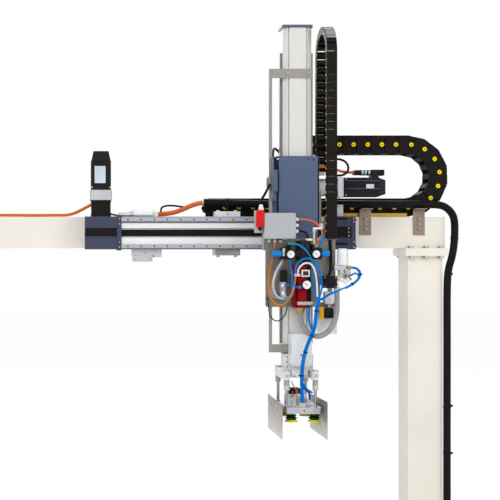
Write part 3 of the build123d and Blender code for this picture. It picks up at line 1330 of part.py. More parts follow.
# Air hoses in front of the plate: the tied bundle down to the gripper, its branch, a strand behind it, the
# loop from the filter, two arches and two links over the ejector, and the grey hose at the left
air_runs = [
    tube("hose bundle", 18, [(-582, -502, 1086), (-595, -508, 1046), (-599, -512, 996), (-606, -515, 944),
                             (-629, -514, 898), (-645, -509, 846), (-655, -502, 792), (-657, -496, 738),
                             (-655, -488, 694), (-653, -484, 660), (-653, -484, 632)]),
    tube("bundle branch", 10, [(-652, -489, 706), (-640, -480, 690), (-626, -462, 680), (-616, -446, 675),
                               (-611, -435, 662), (-609, -430, 648), (-609, -430, 638)]),
    tube("second strand", 10, [(-618, -468, 1053), (-618, -468, 1030), (-624, -482, 1000), (-622, -498, 970),
                               (-613, -510, 945), (-608, -514, 925)]),
    tube("filter loop", 12, [(-430, -438, 1214), (-415, -438, 1214), (-401, -446, 1206), (-394, -454, 1190),
                             (-400, -461, 1170), (-416, -467, 1153), (-444, -473, 1137), (-482, -480, 1121),
                             (-520, -487, 1106), (-553, -494, 1092), (-574, -500, 1076)]),
    tube("blue arch", 8, [(-683, -489, 1188), (-683, -489, 1206), (-679, -501, 1230), (-661, -511, 1249),
                          (-634, -513, 1257), (-605, -512, 1246), (-586, -510, 1218), (-576, -508, 1180),
                          (-571, -506, 1140), (-574, -504, 1108), (-583, -502, 1080)]),
    tube("white arch", 8, [(-672, -489, 1188), (-672, -489, 1203), (-662, -501, 1224), (-640, -508, 1237),
                           (-617, -508, 1231), (-602, -508, 1205), (-595, -507, 1168), (-592, -505, 1126),
                           (-590, -502, 1090)]),
    tube("inner strand", 8, [(-613, -455, 1196), (-613, -472, 1196), (-607, -487, 1180), (-604, -495, 1150),
                             (-602, -499, 1115), (-597, -503, 1080)]),
    tube("gauge link", 8, [(-701, -461, 1251.5), (-701, -461, 1236), (-699, -475, 1218), (-697, -489, 1196),
                           (-696, -492, 1168), (-697, -491, 1141), (-695, -487, 1120), (-690, -475, 1101),
                           (-690, -461, 1089), (-698, -452, 1084), (-710, -452, 1084)]),
    tube("ejector link", 8, [(-728, -466, 1136), (-712, -468, 1137), (-697, -477, 1138), (-684, -488, 1130),
                             (-668, -488, 1130)]),
    tube("grey hose", 14, [(-728, -440, 1251.5), (-728, -440, 1236), (-744, -450, 1220), (-760, -462, 1194),
                           (-772, -471, 1160), (-781, -474, 1128), (-780, -469, 1106), (-770, -459, 1088),
                           (-757, -452, 1084), (-742, -452, 1084)]),
]
with BuildPart() as air_hoses:
    for run in air_runs:
        add(run)

# Ribbed vacuum hose in a low loop from the right-hand valve to the ejector's silencer
vacuum_run = tube("vacuum hose", 24, [(-492, -440, 1110), (-492, -440, 1080), (-494, -451, 1044),
                                      (-500, -466, 1005),
                                      (-518, -479, 963), (-548, -487, 930), (-585, -491, 915),
                                      (-620, -489, 928),
                                      (-643, -468, 952), (-652, -448, 981), (-652, -448, 1010)])
with BuildPart() as vacuum_hose:
    add(vacuum_run)

pieces = {
    "beam": beam,
    "column_right": column_right,
    "column_left": column_left,
    "flange_bolts": flange_bolts,
    "x_profile": x_profile,
    "x_rails": x_rails,
    "x_belt": x_belt,
    "x_drive_head": x_drive_head,
    "x_idler_head": x_idler_head,
    "x_gearbox": x_gearbox,
    "x_motor": x_motor,
    "axis_clamps": axis_clamps,
    "tray_brackets": tray_brackets,
    "conduit": conduit,
    "x_chain_fixed": x_chain_fixed,
    "motor_cables": motor_cables,
    "x_drive_pulley": x_drive_pulley,
    "x_idler_pulley": x_idler_pulley,
    "x_chain_loop": x_chain_loop,
    "x_carriage_plate": x_carriage_plate,
    "x_bearing_blocks": x_bearing_blocks,
    "x_belt_clamp": x_belt_clamp,
    "z_housing": z_housing,
    "z_cover": z_cover,
    "z_bearing_blocks": z_bearing_blocks,
    "z_gearbox": z_gearbox,
    "z_motor": z_motor,
    "chain_brackets": chain_brackets,
    "x_chain_moving": x_chain_moving,
    "z_chain_fixed": z_chain_fixed,
    "z_motor_cables": z_motor_cables,
    "z_pinion": z_pinion,
    "z_chain_loop": z_chain_loop,
    "z_profile": z_profile,
    "z_rails": z_rails,
    "z_rack": z_rack,
    "z_caps": z_caps,
    "guard_frame": guard_frame,
    "z_chain_moving": z_chain_moving,
    "valve_plate": valve_plate,
    "junction_box": junction_box,
    "junction_box_lid": junction_box_lid,
    "limit_switch": limit_switch,
    "regulators": regulators,
    "gauges": gauges,
    "knob_left": knob_left,
    "knob_right": knob_right,
    "vacuum_ejector": vacuum_ejector,
    "filter_unit": filter_unit,
    "valve_block": valve_block,
    "power_cables": power_cables,
    "air_hoses": air_hoses,
    "orange_cables": orange_cables,
    "vacuum_hose": vacuum_hose,
    "gripper_yoke": gripper_yoke,
    "guide_rods": guide_rods,
    "gripper_base": gripper_base,
    "gripper_fittings": gripper_fittings,
    "suction_cups": suction_cups,
    "side_plates": side_plates,
}
for label, piece in pieces.items():
    piece.part.label = label
    export_step(piece.part, f"parts/{label}.step")
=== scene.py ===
import math

import bmesh
import bpy
from bpy.props import FloatProperty, FloatVectorProperty, PointerProperty
from mathutils import Matrix, Vector


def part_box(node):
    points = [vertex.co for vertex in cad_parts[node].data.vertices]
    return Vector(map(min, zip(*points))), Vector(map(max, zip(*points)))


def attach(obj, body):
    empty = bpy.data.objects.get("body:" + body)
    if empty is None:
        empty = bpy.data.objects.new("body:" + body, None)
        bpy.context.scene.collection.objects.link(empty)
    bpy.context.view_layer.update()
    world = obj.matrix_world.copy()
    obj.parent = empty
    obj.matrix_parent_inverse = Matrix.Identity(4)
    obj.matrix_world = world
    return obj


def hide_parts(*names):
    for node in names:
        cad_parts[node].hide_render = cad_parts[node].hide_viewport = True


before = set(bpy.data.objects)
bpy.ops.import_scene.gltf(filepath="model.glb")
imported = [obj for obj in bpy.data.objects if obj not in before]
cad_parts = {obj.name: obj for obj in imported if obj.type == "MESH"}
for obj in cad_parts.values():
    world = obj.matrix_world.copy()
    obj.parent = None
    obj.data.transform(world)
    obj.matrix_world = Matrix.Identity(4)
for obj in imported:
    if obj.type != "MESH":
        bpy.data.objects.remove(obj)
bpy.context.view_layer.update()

bl_info = {
    "name": "Gantry robot",
    "version": (1, 0, 0),
    "blender": (4, 5, 0),
    "location": "View3D > Sidebar > Gantry",
    "description": "Finishes, cords, screws and fittings of a gantry robot on its packed frame",
    "category": "Object",
}

# Directions that screws, plates and fittings face
FRONT = Vector((0, -1, 0))
REAR = Vector((0, 1, 0))
LEFT = Vector((-1, 0, 0))
RIGHT = Vector((1, 0, 0))
UP = Vector((0, 0, 1))
DOWN = Vector((0, 0, -1))


def paint(red, green, blue):
    """A colour as it is seen, 0 to 255 a channel, in the linear values that shaders read."""
    def linear(value):
        share = value / 255
        return share / 12.92 if share <= 0.04045 else ((share + 0.055) / 1.055) ** 2.4
    return (linear(red), linear(green), linear(blue))


def colour_property(name, description, red, green, blue):
    """A colour setting with its default."""
    return FloatVectorProperty(name=name, description=description, subtype="COLOR", size=3, min=0, max=1,
                               default=paint(red, green, blue))


def size_property(name, description, default):
    """A length setting with its default, in metres."""
    return FloatProperty(name=name, description=description, default=default, unit="LENGTH", precision=4)


class GantryColours(bpy.types.PropertyGroup):
    """Colours of the gantry's finishes."""
    cream: colour_property("Frame cream", "Powder coat of the beam and the columns", 238, 232, 221)
    slate: colour_property("Cover slate", "Paint of the lift's cover", 84, 98, 126)
    dark_slate: colour_property("Head slate", "Paint of the belt axis's two heads", 66, 70, 90)
    silver: colour_property("Anodised silver", "Extruded profiles", 214, 213, 209)
    zinc: colour_property("Zinc plate", "Strips, angles and screws", 176, 174, 170)
    gold_zinc: colour_property("Yellow zinc", "Chain tray on the beam", 184, 150, 62)
    bronze: colour_property("Conduit bracket", "Angles that carry the conduit", 146, 128, 114)
    steel: colour_property("Rail steel", "Ground rails, rods and pinion", 176, 180, 190)
    cast: colour_property("Cast aluminium", "Gearbox flanges and adapters", 186, 187, 192)
    black: colour_property("Black plastic", "Chains, motors and covers", 31, 28, 28)
    plug: colour_property("Chain plug", "Caps on the joints of the chains", 252, 216, 10)
    orange: colour_property("Orange sheath", "Motor and valve leads", 222, 110, 46)
    blue: colour_property("Blue hose", "Compressed air hoses", 0, 118, 204)
    grey_hose: colour_property("Grey hose", "Vacuum hoses", 152, 146, 152)
    box: colour_property("Box grey", "Junction box", 174, 177, 180)
    red: colour_property("Red plastic", "Limit switch", 212, 30, 24)
    ejector: colour_property("Ejector red", "Body of the vacuum ejector", 144, 4, 18)
    knob: colour_property("Knob blue", "Adjusting knobs of the regulators", 30, 128, 206)
    white: colour_property("Bowl white", "Bowl, dials and glands", 232, 234, 233)
    lip: colour_property("Cup lip", "Soft lip of the suction cups", 236, 226, 30)


class GantrySizes(bpy.types.PropertyGroup):
    """Sizes of the parts that repeat."""
    x_plug: size_property("Large plug radius", "Caps on the joints of the horizontal chain", 0.0105)
    z_plug: size_property("Small plug radius", "Caps on the joints of the lift's chain", 0.0042)
    rail_screw: size_property("Rail screw radius", "Heads sunk in the rails", 0.0034)
    cap_screw: size_property("Cap screw radius", "Socket heads on covers and brackets", 0.0048)
    rib_pitch: size_property("Conduit rib pitch", "Distance between the conduit's ribs", 0.009)
    hose_rib_pitch: size_property("Vacuum hose rib pitch", "Distance between the vacuum hose's ribs", 0.0055)
    tie_width: size_property("Cable tie width", "Bands round cords", 0.0045)
    reach_gap: size_property("Chain reach gap", "How far the hidden links lie inside the moving run", 0.0006)


def colours():
    return bpy.context.scene.gantry_colours


def sizes():
    return bpy.context.scene.gantry_sizes


# Shader building blocks

def feed(owner, socket, source):
    """Links an output to a socket, or sets the socket to a constant."""
    if isinstance(source, bpy.types.NodeSocket):
        owner.node_tree.links.new(source, socket)
    else:
        socket.default_value = source


def node(owner, kind, **values):
    """A node of a material or of the world, with its inputs fed by name."""
    made = owner.node_tree.nodes.new(kind)
    for name, value in values.items():
        feed(owner, made.inputs[name.replace("_", " ")], value)
    return made


def reckon(owner, operation, first, second):
    """The result of a Math node."""
    made = node(owner, "ShaderNodeMath")
    made.operation = operation
    feed(owner, made.inputs[0], first)
    feed(owner, made.inputs[1], second)
    return made.outputs[0]


def span(owner, value, **ends):
    """The result of a Map Range node."""
    return node(owner, "ShaderNodeMapRange", Value=value, **ends).outputs["Result"]


def on_shader(material, name, source):
    """Feeds an input of the Principled shader."""
    feed(material, material.node_tree.nodes["Principled BSDF"].inputs[name], source)


def start_material(name, colour, roughness, metallic=0.0, coat=0.0):
    """A material with its constants set on the shader, and less specular the darker its colour is."""
    made = bpy.data.materials.new(name)
    made.use_nodes = True
    on_shader(made, "Base Color", (*colour, 1))
    on_shader(made, "Roughness", roughness)
    on_shader(made, "Metallic", metallic)
    on_shader(made, "Coat Weight", coat)
    on_shader(made, "Specular IOR Level", 0.04 + 0.46 * min(1, 2 * min(colour)))
    made.diffuse_color = (*colour, 1)
    return made


def coordinates(material, stretch=(1, 1, 1)):
    """Object coordinates through a mapping that stretches a pattern."""
    place = node(material, "ShaderNodeTexCoord").outputs["Object"]
    return node(material, "ShaderNodeMapping", Vector=place, Scale=stretch).outputs["Vector"]


def axes(material):
    """The object coordinates' X, Y and Z."""
    return node(material, "ShaderNodeSeparateXYZ", Vector=coordinates(material)).outputs


def noise(material, scale, detail=3.0, stretch=(1, 1, 1)):
    place = coordinates(material, stretch)
    return node(material, "ShaderNodeTexNoise", Vector=place, Scale=scale, Detail=detail).outputs["Fac"]


def ramp(material, value, places, tints, kind="LINEAR"):
    """A colour ramp over a value, from its places and their colours."""
    made = node(material, "ShaderNodeValToRGB", Fac=value)
    made.color_ramp.interpolation = kind
    elements = made.color_ramp.elements
    while len(elements) < len(places):
        elements.new(0.5)
    for element, place, tint in zip(elements, places, tints):
        element.position = place
        element.color = (*tint, 1)
    return made.outputs["Color"]


def blend(material, share, below, above, kind="MIX"):
    """Colours the shader with two outputs, mixed or multiplied."""
    mix = node(material, "ShaderNodeMix")
    mix.data_type = "RGBA"
    mix.blend_type = kind
    for place, source in ((0, share), (6, below), (7, above)):
        feed(material, mix.inputs[place], source)
    on_shader(material, "Base Color", mix.outputs[2])


def shade_range(colour, spread):
    """The darker and the lighter end of a colour's variation."""
    return [tuple(min(1, part * (1 + side * spread)) for part in colour) for side in (-1, 1)]


def vary_colour(material, colour, spread, scale, stretch=(1, 1, 1)):
    """Broad, soft colour variation over the surface."""
    mottle = ramp(material, noise(material, scale, 5.0, stretch), (0.32, 0.68), shade_range(colour, spread))
    on_shader(material, "Base Color", mottle)


def vary_roughness(material, low, high, scale, stretch=(1, 1, 1)):
    value = noise(material, scale, 4.0, stretch)
    level = span(material, value, From_Min=0.3, From_Max=0.7, To_Min=low, To_Max=high)
    on_shader(material, "Roughness", level)


def grain(material, scale, strength, distance=0.0002, stretch=(1, 1, 1)):
    """A fine relief from noise."""
    height = noise(material, scale, 2.0, stretch)
    bump = node(material, "ShaderNodeBump", Strength=strength, Distance=distance, Height=height)
    on_shader(material, "Normal", bump.outputs["Normal"])


def painted(name, colour, roughness=0.42):
    """Powder coat: soft mottling, orange peel and an uneven sheen."""
    made = start_material(name, colour, roughness, coat=0.12)
    vary_colour(made, colour, 0.05, 3.0)
    vary_roughness(made, roughness - 0.08, roughness + 0.1, 14.0)
    grain(made, 900.0, 0.12, 0.0004)
    return made


def brushed(name, colour, roughness, along, metallic=0.85, spread=0.07):
    """Drawn or brushed metal, with its lines along one axis."""
    stretch = [1.0 if axis == along else 22.0 for axis in "XYZ"]
    made = start_material(name, colour, roughness, metallic)
    vary_colour(made, colour, spread, 9.0, stretch)
    vary_roughness(made, roughness - 0.08, roughness + 0.12, 16.0, stretch)
    grain(made, 60.0, 0.1, stretch=stretch)
    return made


def plated(name, colour, roughness=0.36):
    """Zinc plate, with the spangle of its crystals."""
    made = start_material(name, colour, roughness, 0.75)
    spangle = node(made, "ShaderNodeTexVoronoi", Vector=coordinates(made), Scale=120.0).outputs["Color"]
    on_shader(made, "Base Color", ramp(made, spangle, (0.1, 0.9), shade_range(colour, 0.1)))
    vary_roughness(made, roughness - 0.08, roughness + 0.14, 40.0)
    grain(made, 300.0, 0.08, 0.0004)
    return made


def moulded(name, colour, roughness=0.45, spread=0.08, coat=0.0):
    """Moulded plastic with a fine spark-eroded grain."""
    made = start_material(name, colour, roughness, coat=coat)
    vary_colour(made, colour, spread, 18.0)
    vary_roughness(made, roughness - 0.07, roughness + 0.1, 60.0)
    grain(made, 1500.0, 0.16)
    return made


def sheath(name, colour, roughness=0.38):
    """Extruded cable or hose jacket."""
    made = start_material(name, colour, roughness, coat=0.04)
    vary_colour(made, colour, 0.09, 30.0)
    vary_roughness(made, roughness - 0.08, roughness + 0.1, 90.0)
    grain(made, 800.0, 0.07)
    return made


def parted(name, axis, border, below, above, roughness, metallic=(), limits=()):
    """Two colours on one piece, parted at a place along one axis, the upper one within further limits: two
    real finishes on some pieces, a painted sheen on the chain loop and painted shade on the mounting plate.
    """
    made = start_material(name, below, roughness)
    place = axes(made)
    over = reckon(made, "GREATER_THAN", place[axis], border)
    for other, operation, limit in limits:
        over = reckon(made, "MULTIPLY", over, reckon(made, operation, place[other], limit))
    blend(made, over, *(ramp(made, noise(made, 16.0), (0.3, 0.7), shade_range(colour, spread))
                        for colour, spread in ((below, 0.08), (above, 0.06))))
    if metallic:
        on_shader(made, "Metallic", span(made, over, To_Min=metallic[0], To_Max=metallic[1]))
    vary_roughness(made, roughness - 0.08, roughness + 0.1, 30.0)
    grain(made, 500.0, 0.1)
    return made


def banded(name, stops, roughness, metallic=0.0, kind="CONSTANT"):
    """Bands of colour up the height, from places and colours, with sharp or soft borders: the cups' own
    colour bands, and painted shade on the beam profile, the side plates and the yoke's pale parts.
    """
    places, tints = zip(*stops)
    made = start_material(name, tints[0], roughness, metallic)
    low, high = places[0], places[-1]
    height = span(made, axes(made)["Z"], From_Min=low, From_Max=high)
    bands = ramp(made, height, [(place - low) / (high - low) for place in places], tints, kind)
    mottle = ramp(made, noise(made, 24.0, 4.0), (0.3, 0.7), ((0.93, 0.93, 0.93), (1, 1, 1)))
    blend(made, 1.0, bands, mottle, "MULTIPLY")
    vary_roughness(made, roughness - 0.06, roughness + 0.1, 30.0)
    grain(made, 400.0, 0.08)
    return made


FINISH = {}


def mix_finishes():
    """Every finish of the gantry, by the name that its pieces use."""
    tint = colours()
    gearbox_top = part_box("x_gearbox")[0].z + 0.075
    cup_green, cup_dark = paint(12, 84, 40), paint(14, 22, 16)
    clamp_light = paint(226, 229, 231)
    FINISH.update({
        "cream": painted("frame_cream", tint.cream),
        "slate": painted("cover_slate", tint.slate, 0.38),
        "dark_slate": painted("head_slate", tint.dark_slate, 0.4),
        "arm": painted("arm_white", paint(224, 226, 226), 0.4),
        "silver_z": brushed("profile_upright", tint.silver, 0.36, "Z", 0.45, 0.03),
        "steel_x": brushed("rail_along_beam", tint.steel, 0.26, "X"),
        "steel_z": brushed("rail_upright", tint.steel, 0.26, "Z"),
        "dark_steel": brushed("lift_rail", paint(118, 119, 120), 0.34, "Z"),
        "guard": brushed("guard_strip", paint(150, 147, 143), 0.4, "Z", 0.7),
        "x_rail": brushed("x_guide_rail", tint.steel, 0.34, "X", 0.5, 0.03),
        "rod": brushed("guide_rod", paint(158, 158, 157), 0.34, "Z", 0.7, 0.1),
        "zinc": plated("zinc_plate", tint.zinc),
        "cast": plated("cast_aluminium", tint.cast, 0.42),
        "brass": plated("brass", paint(166, 152, 112), 0.34),
        # The beam profile is one silver; its dark bands at 1.29 m and 1.413 m are painted shade, and the band
        # between them is near white.
        "x_profile_painted_shade": banded("profile_along_beam_painted_shade", [
            (1.29, paint(142, 142, 146)), (1.3165, paint(240, 241, 240)), (1.413, paint(136, 137, 140)),
            (1.4215, paint(176, 176, 178)), (1.45, tint.silver)], 0.36, 0.2),
        "clamps": banded("axis_clamps", [
            (1.26, paint(196, 198, 199)), (1.37, clamp_light), (1.5, clamp_light)], 0.4, 0.2),
        # The side plates are one steel with painted shade: dark at the top, grading to pale at the bottom.
        "side_plate": banded("side_plate_painted_shade", [
            (0.484, paint(214, 210, 205)), (0.55, paint(176, 171, 164)), (0.645, paint(128, 120, 112))],
            0.36, 0.25, "LINEAR"),
        # Pale parts of the yoke with painted shade: darker lower down, lighter towards the top.
        "white_painted_shade": banded("yoke_white_painted_shade", [
            (0.70, paint(196, 197, 198)), (0.9, paint(222, 224, 224))], 0.4, 0.2, "LINEAR"),
        "cups": banded("suction_cups", [
            (0.548, tint.lip), (0.5575, cup_green), (0.567, cup_dark), (0.573, cup_green), (0.579, cup_dark),
            (0.59, cup_dark)], 0.5),
        "idler_head": parted("idler_head", "Z", 1.4448, tint.dark_slate, paint(208, 212, 214), 0.42),
        # The lift chain's loop is black; the grey on its upper front links at the right is a painted sheen.
        "loop": parted("chain_loop_links_painted_sheen", "Z", 2.217, tint.black, paint(150, 153, 158), 0.36,
                       limits=(("X", "GREATER_THAN", -0.5345), ("Y", "LESS_THAN", -0.372))),
        "tray": parted("tray_and_brackets", "Y", -0.074, tint.bronze, tint.gold_zinc, 0.45, (0.25, 0.6)),
        "gearbox": parted("belt_gearbox", "Z", gearbox_top, tint.black, tint.cast, 0.4, (0.0, 0.6)),
        # The mounting plate's own colour is the pale one below 1.0415 m; the dark grey-brown above it is
        # painted shade.
        "panel": parted("mounting_plate_painted_shade", "Z", 1.0415, paint(218, 220, 220), paint(126, 120, 111), 0.44,
                        (0.0, 0.3)),
        "black": moulded("black_plastic", tint.black, 0.55),
        "motor": moulded("motor_black", paint(34, 33, 37), 0.36, 0.14, 0.05),
        "belt": moulded("belt_rubber", paint(26, 26, 27), 0.62),
        "plug": moulded("chain_plug", tint.plug, 0.4, 0.05),
        "box": moulded("box_grey", tint.box, 0.45, 0.03),
        "red": moulded("switch_red", tint.red, 0.4, 0.06, 0.2),
        "ejector": moulded("ejector_red", tint.ejector, 0.34, 0.1, 0.08),
        "knob": moulded("knob_blue", tint.knob, 0.36, 0.05, 0.2),
        "white": moulded("bowl_white", tint.white, 0.28, 0.03, 0.3),
        "dial": moulded("dial_white", paint(240, 240, 238), 0.4, 0.02),
        "ink": moulded("dial_ink", paint(24, 24, 26), 0.5),
        "screen": moulded("display_glass", paint(46, 22, 26), 0.12, 0.2, 0.8),
        "valve": moulded("valve_dark", paint(30, 30, 34), 0.42, 0.12, 0.05),
        "beige": moulded("valve_beige", paint(196, 186, 170), 0.42, 0.08),
        "green": moulded("gland_green", paint(150, 164, 146), 0.42, 0.06),
        "rose": moulded("gland_rose", paint(176, 118, 116), 0.42, 0.06),
        "brown": moulded("gland_brown", paint(96, 70, 56), 0.42, 0.08),
        "label": moulded("bare_label", paint(196, 208, 220), 0.4, 0.03),
        "tag": moulded("yellow_tag", paint(228, 176, 34), 0.42, 0.04),
        "violet": moulded("violet_ring", paint(104, 88, 112), 0.36, 0.05),
        "black_sheath": sheath("black_sheath", paint(22, 21, 23)),
        "orange_sheath": sheath("orange_sheath", tint.orange),
        "ochre_sheath": sheath("ochre_sheath", paint(200, 116, 30)),
        "blue_hose": sheath("blue_hose", tint.blue, 0.3),
        "turquoise": sheath("turquoise_hose", paint(20, 140, 190), 0.3),
        "white_hose": sheath("white_hose", paint(226, 224, 226), 0.32),
        "pale_hose": sheath("pale_hose", paint(192, 190, 192), 0.32),
        "grey_hose": sheath("grey_hose", tint.grey_hose, 0.34),
    })


# Which CAD nodes take each finish
NODE_FINISH = {
    "cream": "beam column_right column_left", "slate": "z_cover z_caps",
    "dark_slate": "x_drive_head z_housing", "silver_z": "z_profile", "steel_x": "x_bearing_blocks z_pinion",
    "steel_z": "z_bearing_blocks z_rack", "dark_steel": "z_rails", "guard": "guard_frame",
    "x_rail": "x_rails", "rod": "guide_rods", "zinc": "flange_bolts chain_brackets", "x_profile_painted_shade": "x_profile",
    "clamps": "axis_clamps",
    "cast": "x_drive_pulley x_idler_pulley x_carriage_plate x_belt_clamp z_gearbox gripper_base "
            "gripper_fittings",
    # The side_plate and panel finishes carry painted shade, and the loop finish a painted sheen.
    "side_plate": "side_plates", "cups": "suction_cups", "idler_head": "x_idler_head", "loop": "z_chain_loop",
    "tray": "tray_brackets", "gearbox": "x_gearbox", "panel": "valve_plate", "motor": "x_motor z_motor",
    "black": "x_chain_fixed x_chain_loop x_chain_moving z_chain_fixed z_chain_moving gauges",
    "belt": "x_belt",
    "box": "junction_box junction_box_lid", "red": "limit_switch", "ejector": "vacuum_ejector",
    "knob": "knob_left knob_right", "valve": "regulators filter_unit valve_block", "arm": "gripper_yoke",
}


# Modelling helpers. Places and sizes come in millimetres, as the part's source gives them

MM = 0.001


def metres(point):
    return tuple(part / 1000 for part in point)


def take(*objects):
    """Object mode, with these objects alone selected and the first one active."""
    if bpy.context.mode != "OBJECT":
        bpy.ops.object.mode_set(mode="OBJECT")
    bpy.ops.object.select_all(action="DESELECT")
    for obj in objects:
        obj.select_set(True)
    if objects:
        bpy.context.view_layer.objects.active = objects[0]


def named(name):
    """The active object, under its name."""
    obj = bpy.context.object
    obj.name = obj.data.name = name
    return obj


def settle(obj, body, finish, slot=None, replaced=None):
    """Gives a finished piece its material and its body, and hides the CAD node that it stands for. The slot
    is not used.
    """
    obj.data.materials.clear()
    obj.data.materials.append(FINISH[finish])
    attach(obj, body)
    if replaced:
        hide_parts(replaced)
    return obj


def block(name, low, high):
    """A box between two corners, with its place in its mesh."""
    take()
    low, high = Vector(metres(low)), Vector(metres(high))
    bpy.ops.mesh.primitive_cube_add(size=1, location=(low + high) / 2, scale=high - low)
    bpy.ops.object.transform_apply(location=True, rotation=True, scale=True)
    return named(name)


def soften(obj, width, segments=2):
    """Rounds the edges with a bevel that is applied, and smooths the round parts."""
    take(obj)
    angle = math.radians(35)
    bevel = obj.modifiers.new("edges", "BEVEL")
    bevel.width = width * MM
    bevel.segments = segments
    bevel.limit_method = "ANGLE"
    bevel.angle_limit = angle
    bpy.ops.object.modifier_apply(modifier=bevel.name)
    bpy.ops.object.shade_smooth_by_angle(angle=angle)
    return obj


def form(name, body, finish, low, high, edge=1.5, replaced=None, slot=None):
    """A block with soft edges between two corners."""
    return settle(soften(block(name, low, high), edge, 3), body, finish, slot, replaced)


def plate(name, body, finish, low, high, margin, depth, replaced=None, slot=None):
    """A plate that faces the front, with a raised or sunk field and soft edges."""
    obj = block(name, low, high)
    take(obj)
    bpy.ops.object.mode_set(mode="EDIT")
    bpy.ops.mesh.select_mode(type="FACE")
    bpy.ops.mesh.select_all(action="DESELECT")
    bpy.ops.object.mode_set(mode="OBJECT")
    for face in obj.data.polygons:
        face.select = face.normal.dot(FRONT) > 0.9
    bpy.ops.object.mode_set(mode="EDIT")
    bpy.ops.mesh.inset(thickness=margin * MM, depth=0)
    bpy.ops.mesh.inset(thickness=0.1 * MM, depth=depth * MM)
    bpy.ops.object.mode_set(mode="OBJECT")
    return settle(soften(obj, 0.4), body, finish, slot, replaced)


def turned(name, rings, sides):
    """A turned piece about the Z axis: each ring is a radius and a height, and both ends are closed."""
    take()
    radius, height = rings[0]
    bpy.ops.mesh.primitive_circle_add(vertices=sides, radius=radius * MM, fill_type="NGON",
                                      location=(0, 0, height * MM))
    bpy.ops.object.transform_apply(location=True, rotation=True, scale=True)
    obj = named(name)
    bpy.ops.object.mode_set(mode="EDIT")
    bpy.ops.mesh.select_all(action="SELECT")
    for next_radius, next_height in rings[1:]:
        rise = (0, 0, (next_height - height) * MM)
        bpy.ops.mesh.extrude_region_move(TRANSFORM_OT_translate={"value": rise})
        share = next_radius / radius
        bpy.ops.transform.resize(value=(share, share, 1), center_override=(0, 0, next_height * MM))
        radius, height = next_radius, next_height
    bpy.ops.mesh.select_all(action="SELECT")
    bpy.ops.mesh.normals_make_consistent(inside=False)
    bpy.ops.object.mode_set(mode="OBJECT")
    bpy.ops.object.shade_smooth_by_angle(angle=math.radians(40))
    return obj


def facing(place, towards):
    """The placement that turns a piece's Z axis one way and moves its origin to a place in metres."""
    return Matrix.Translation(place) @ Vector(towards).to_track_quat("Z", "Y").to_matrix().to_4x4()


def join(name, objects):
    """One piece from several."""
    take(*objects)
    if len(objects) > 1:
        bpy.ops.object.join()
    return named(name)


def repeat(name, master, placements):
    """Copies of one modelled piece, each with its own mesh, joined into one. The master goes."""
    copies = []
    for placement in placements:
        copy = master.copy()
        copy.data = master.data.copy()
        copy.data.transform(placement)
        bpy.context.scene.collection.objects.link(copy)
        copies.append(copy)
    bpy.data.objects.remove(master)
    return join(name, copies)


def lathe(name, body, finish, place, towards, rings, sides=24, replaced=None, slot=None):
    """One turned piece at its place."""
    made = turned(name, rings, sides)
    made.data.transform(facing(metres(place), towards))
    return settle(made, body, finish, slot, replaced)


def studs(name, body, finish, rings, places, towards, sides=24, slot=None):
    """Like turned pieces at several places."""
    placements = [facing(metres(place), towards) for place in places]
    return settle(repeat(name, turned("stud", rings, sides), placements), body, finish, slot)


def screws(name, body, places, radius, height, finish="zinc", slot="zinc_steel", towards=FRONT):
    """Socket-head screws with a chamfer and a recess for the key."""
    rings = [(radius, 0), (radius, height * 0.85), (radius * 0.9, height), (radius * 0.55, height),
             (radius * 0.5, height * 0.4)]
    return studs(name, body, finish, rings, places, towards, 16, slot)


def bush(radius, length, edge=1.0):
    """The rings of a plain cylinder with both rims rounded."""
    return [(radius - edge, 0), (radius, edge), (radius, length - edge), (radius - edge, length)]


def hexagon(radius, length):
    """The rings of a nut's rounded hexagon; it's turned with six sides."""
    return [(radius * 0.9, 0), (radius, length * 0.15), (radius, length * 0.85), (radius * 0.9, length)]


def cap(radius, height):
    """A flat cap with a round edge and a dimple."""
    rings = [(radius * 0.96, 0), (radius, height * 0.35), (radius * 0.94, height * 0.85),
             (radius * 0.82, height), (radius * 0.35, height), (radius * 0.28, height * 0.7)]
    return turned("cap", rings, 24)


# Cords, whose helpers work in metres

def centreline(name, points):
    """A cord's smooth line: one open spline with the route's points as its control points."""
    line = bpy.data.curves.new(name, "CURVE")
    line.dimensions = "3D"
    spline = line.splines.new("NURBS")
    spline.points.add(len(points) - 1)
    for control, point in zip(spline.points, points):
        control.co = (*point, 1)
    spline.order_u = 3
    spline.use_endpoint_u = True
    spline.resolution_u = 12
    obj = bpy.data.objects.new(name, line)
    bpy.context.scene.collection.objects.link(obj)
    return obj


def read_line(points, step):
    """Evenly spaced points along the spline of a route, with the tangent at each."""
    guide = centreline("guide", points)
    bpy.context.view_layer.update()
    mesh = bpy.data.meshes.new_from_object(guide.evaluated_get(bpy.context.evaluated_depsgraph_get()))
    raw = [vertex.co.copy() for vertex in mesh.vertices]
    bpy.data.meshes.remove(mesh)
    bpy.data.objects.remove(guide)
    reach = [0.0]
    for here, there in zip(raw, raw[1:]):
        reach.append(reach[-1] + (there - here).length)
    count = max(2, round(reach[-1] / step))
    even, i = [], 0
    for k in range(count + 1):
        goal = reach[-1] * k / count
        while i < len(reach) - 2 and reach[i + 1] < goal:
            i += 1
        share = (goal - reach[i]) / max(1e-9, reach[i + 1] - reach[i])
        even.append(raw[i].lerp(raw[i + 1], min(1, share)))
    tangents = [(even[min(k + 1, count)] - even[max(k - 1, 0)]).normalized() for k in range(count + 1)]
    return even, tangents


def steady_sides(tangents):
    """A side direction at each point, carried along the line without twisting."""
    side = tangents[0].orthogonal().normalized()
    sides = []
    for tangent in tangents:
        side = (side - tangent * side.dot(tangent)).normalized()
        sides.append(side.copy())
    return sides


def around(centre, side, tangent, turn, radius):
    """A point on the circle about a line's point."""
    return centre + (side * math.cos(turn) + tangent.cross(side) * math.sin(turn)) * radius


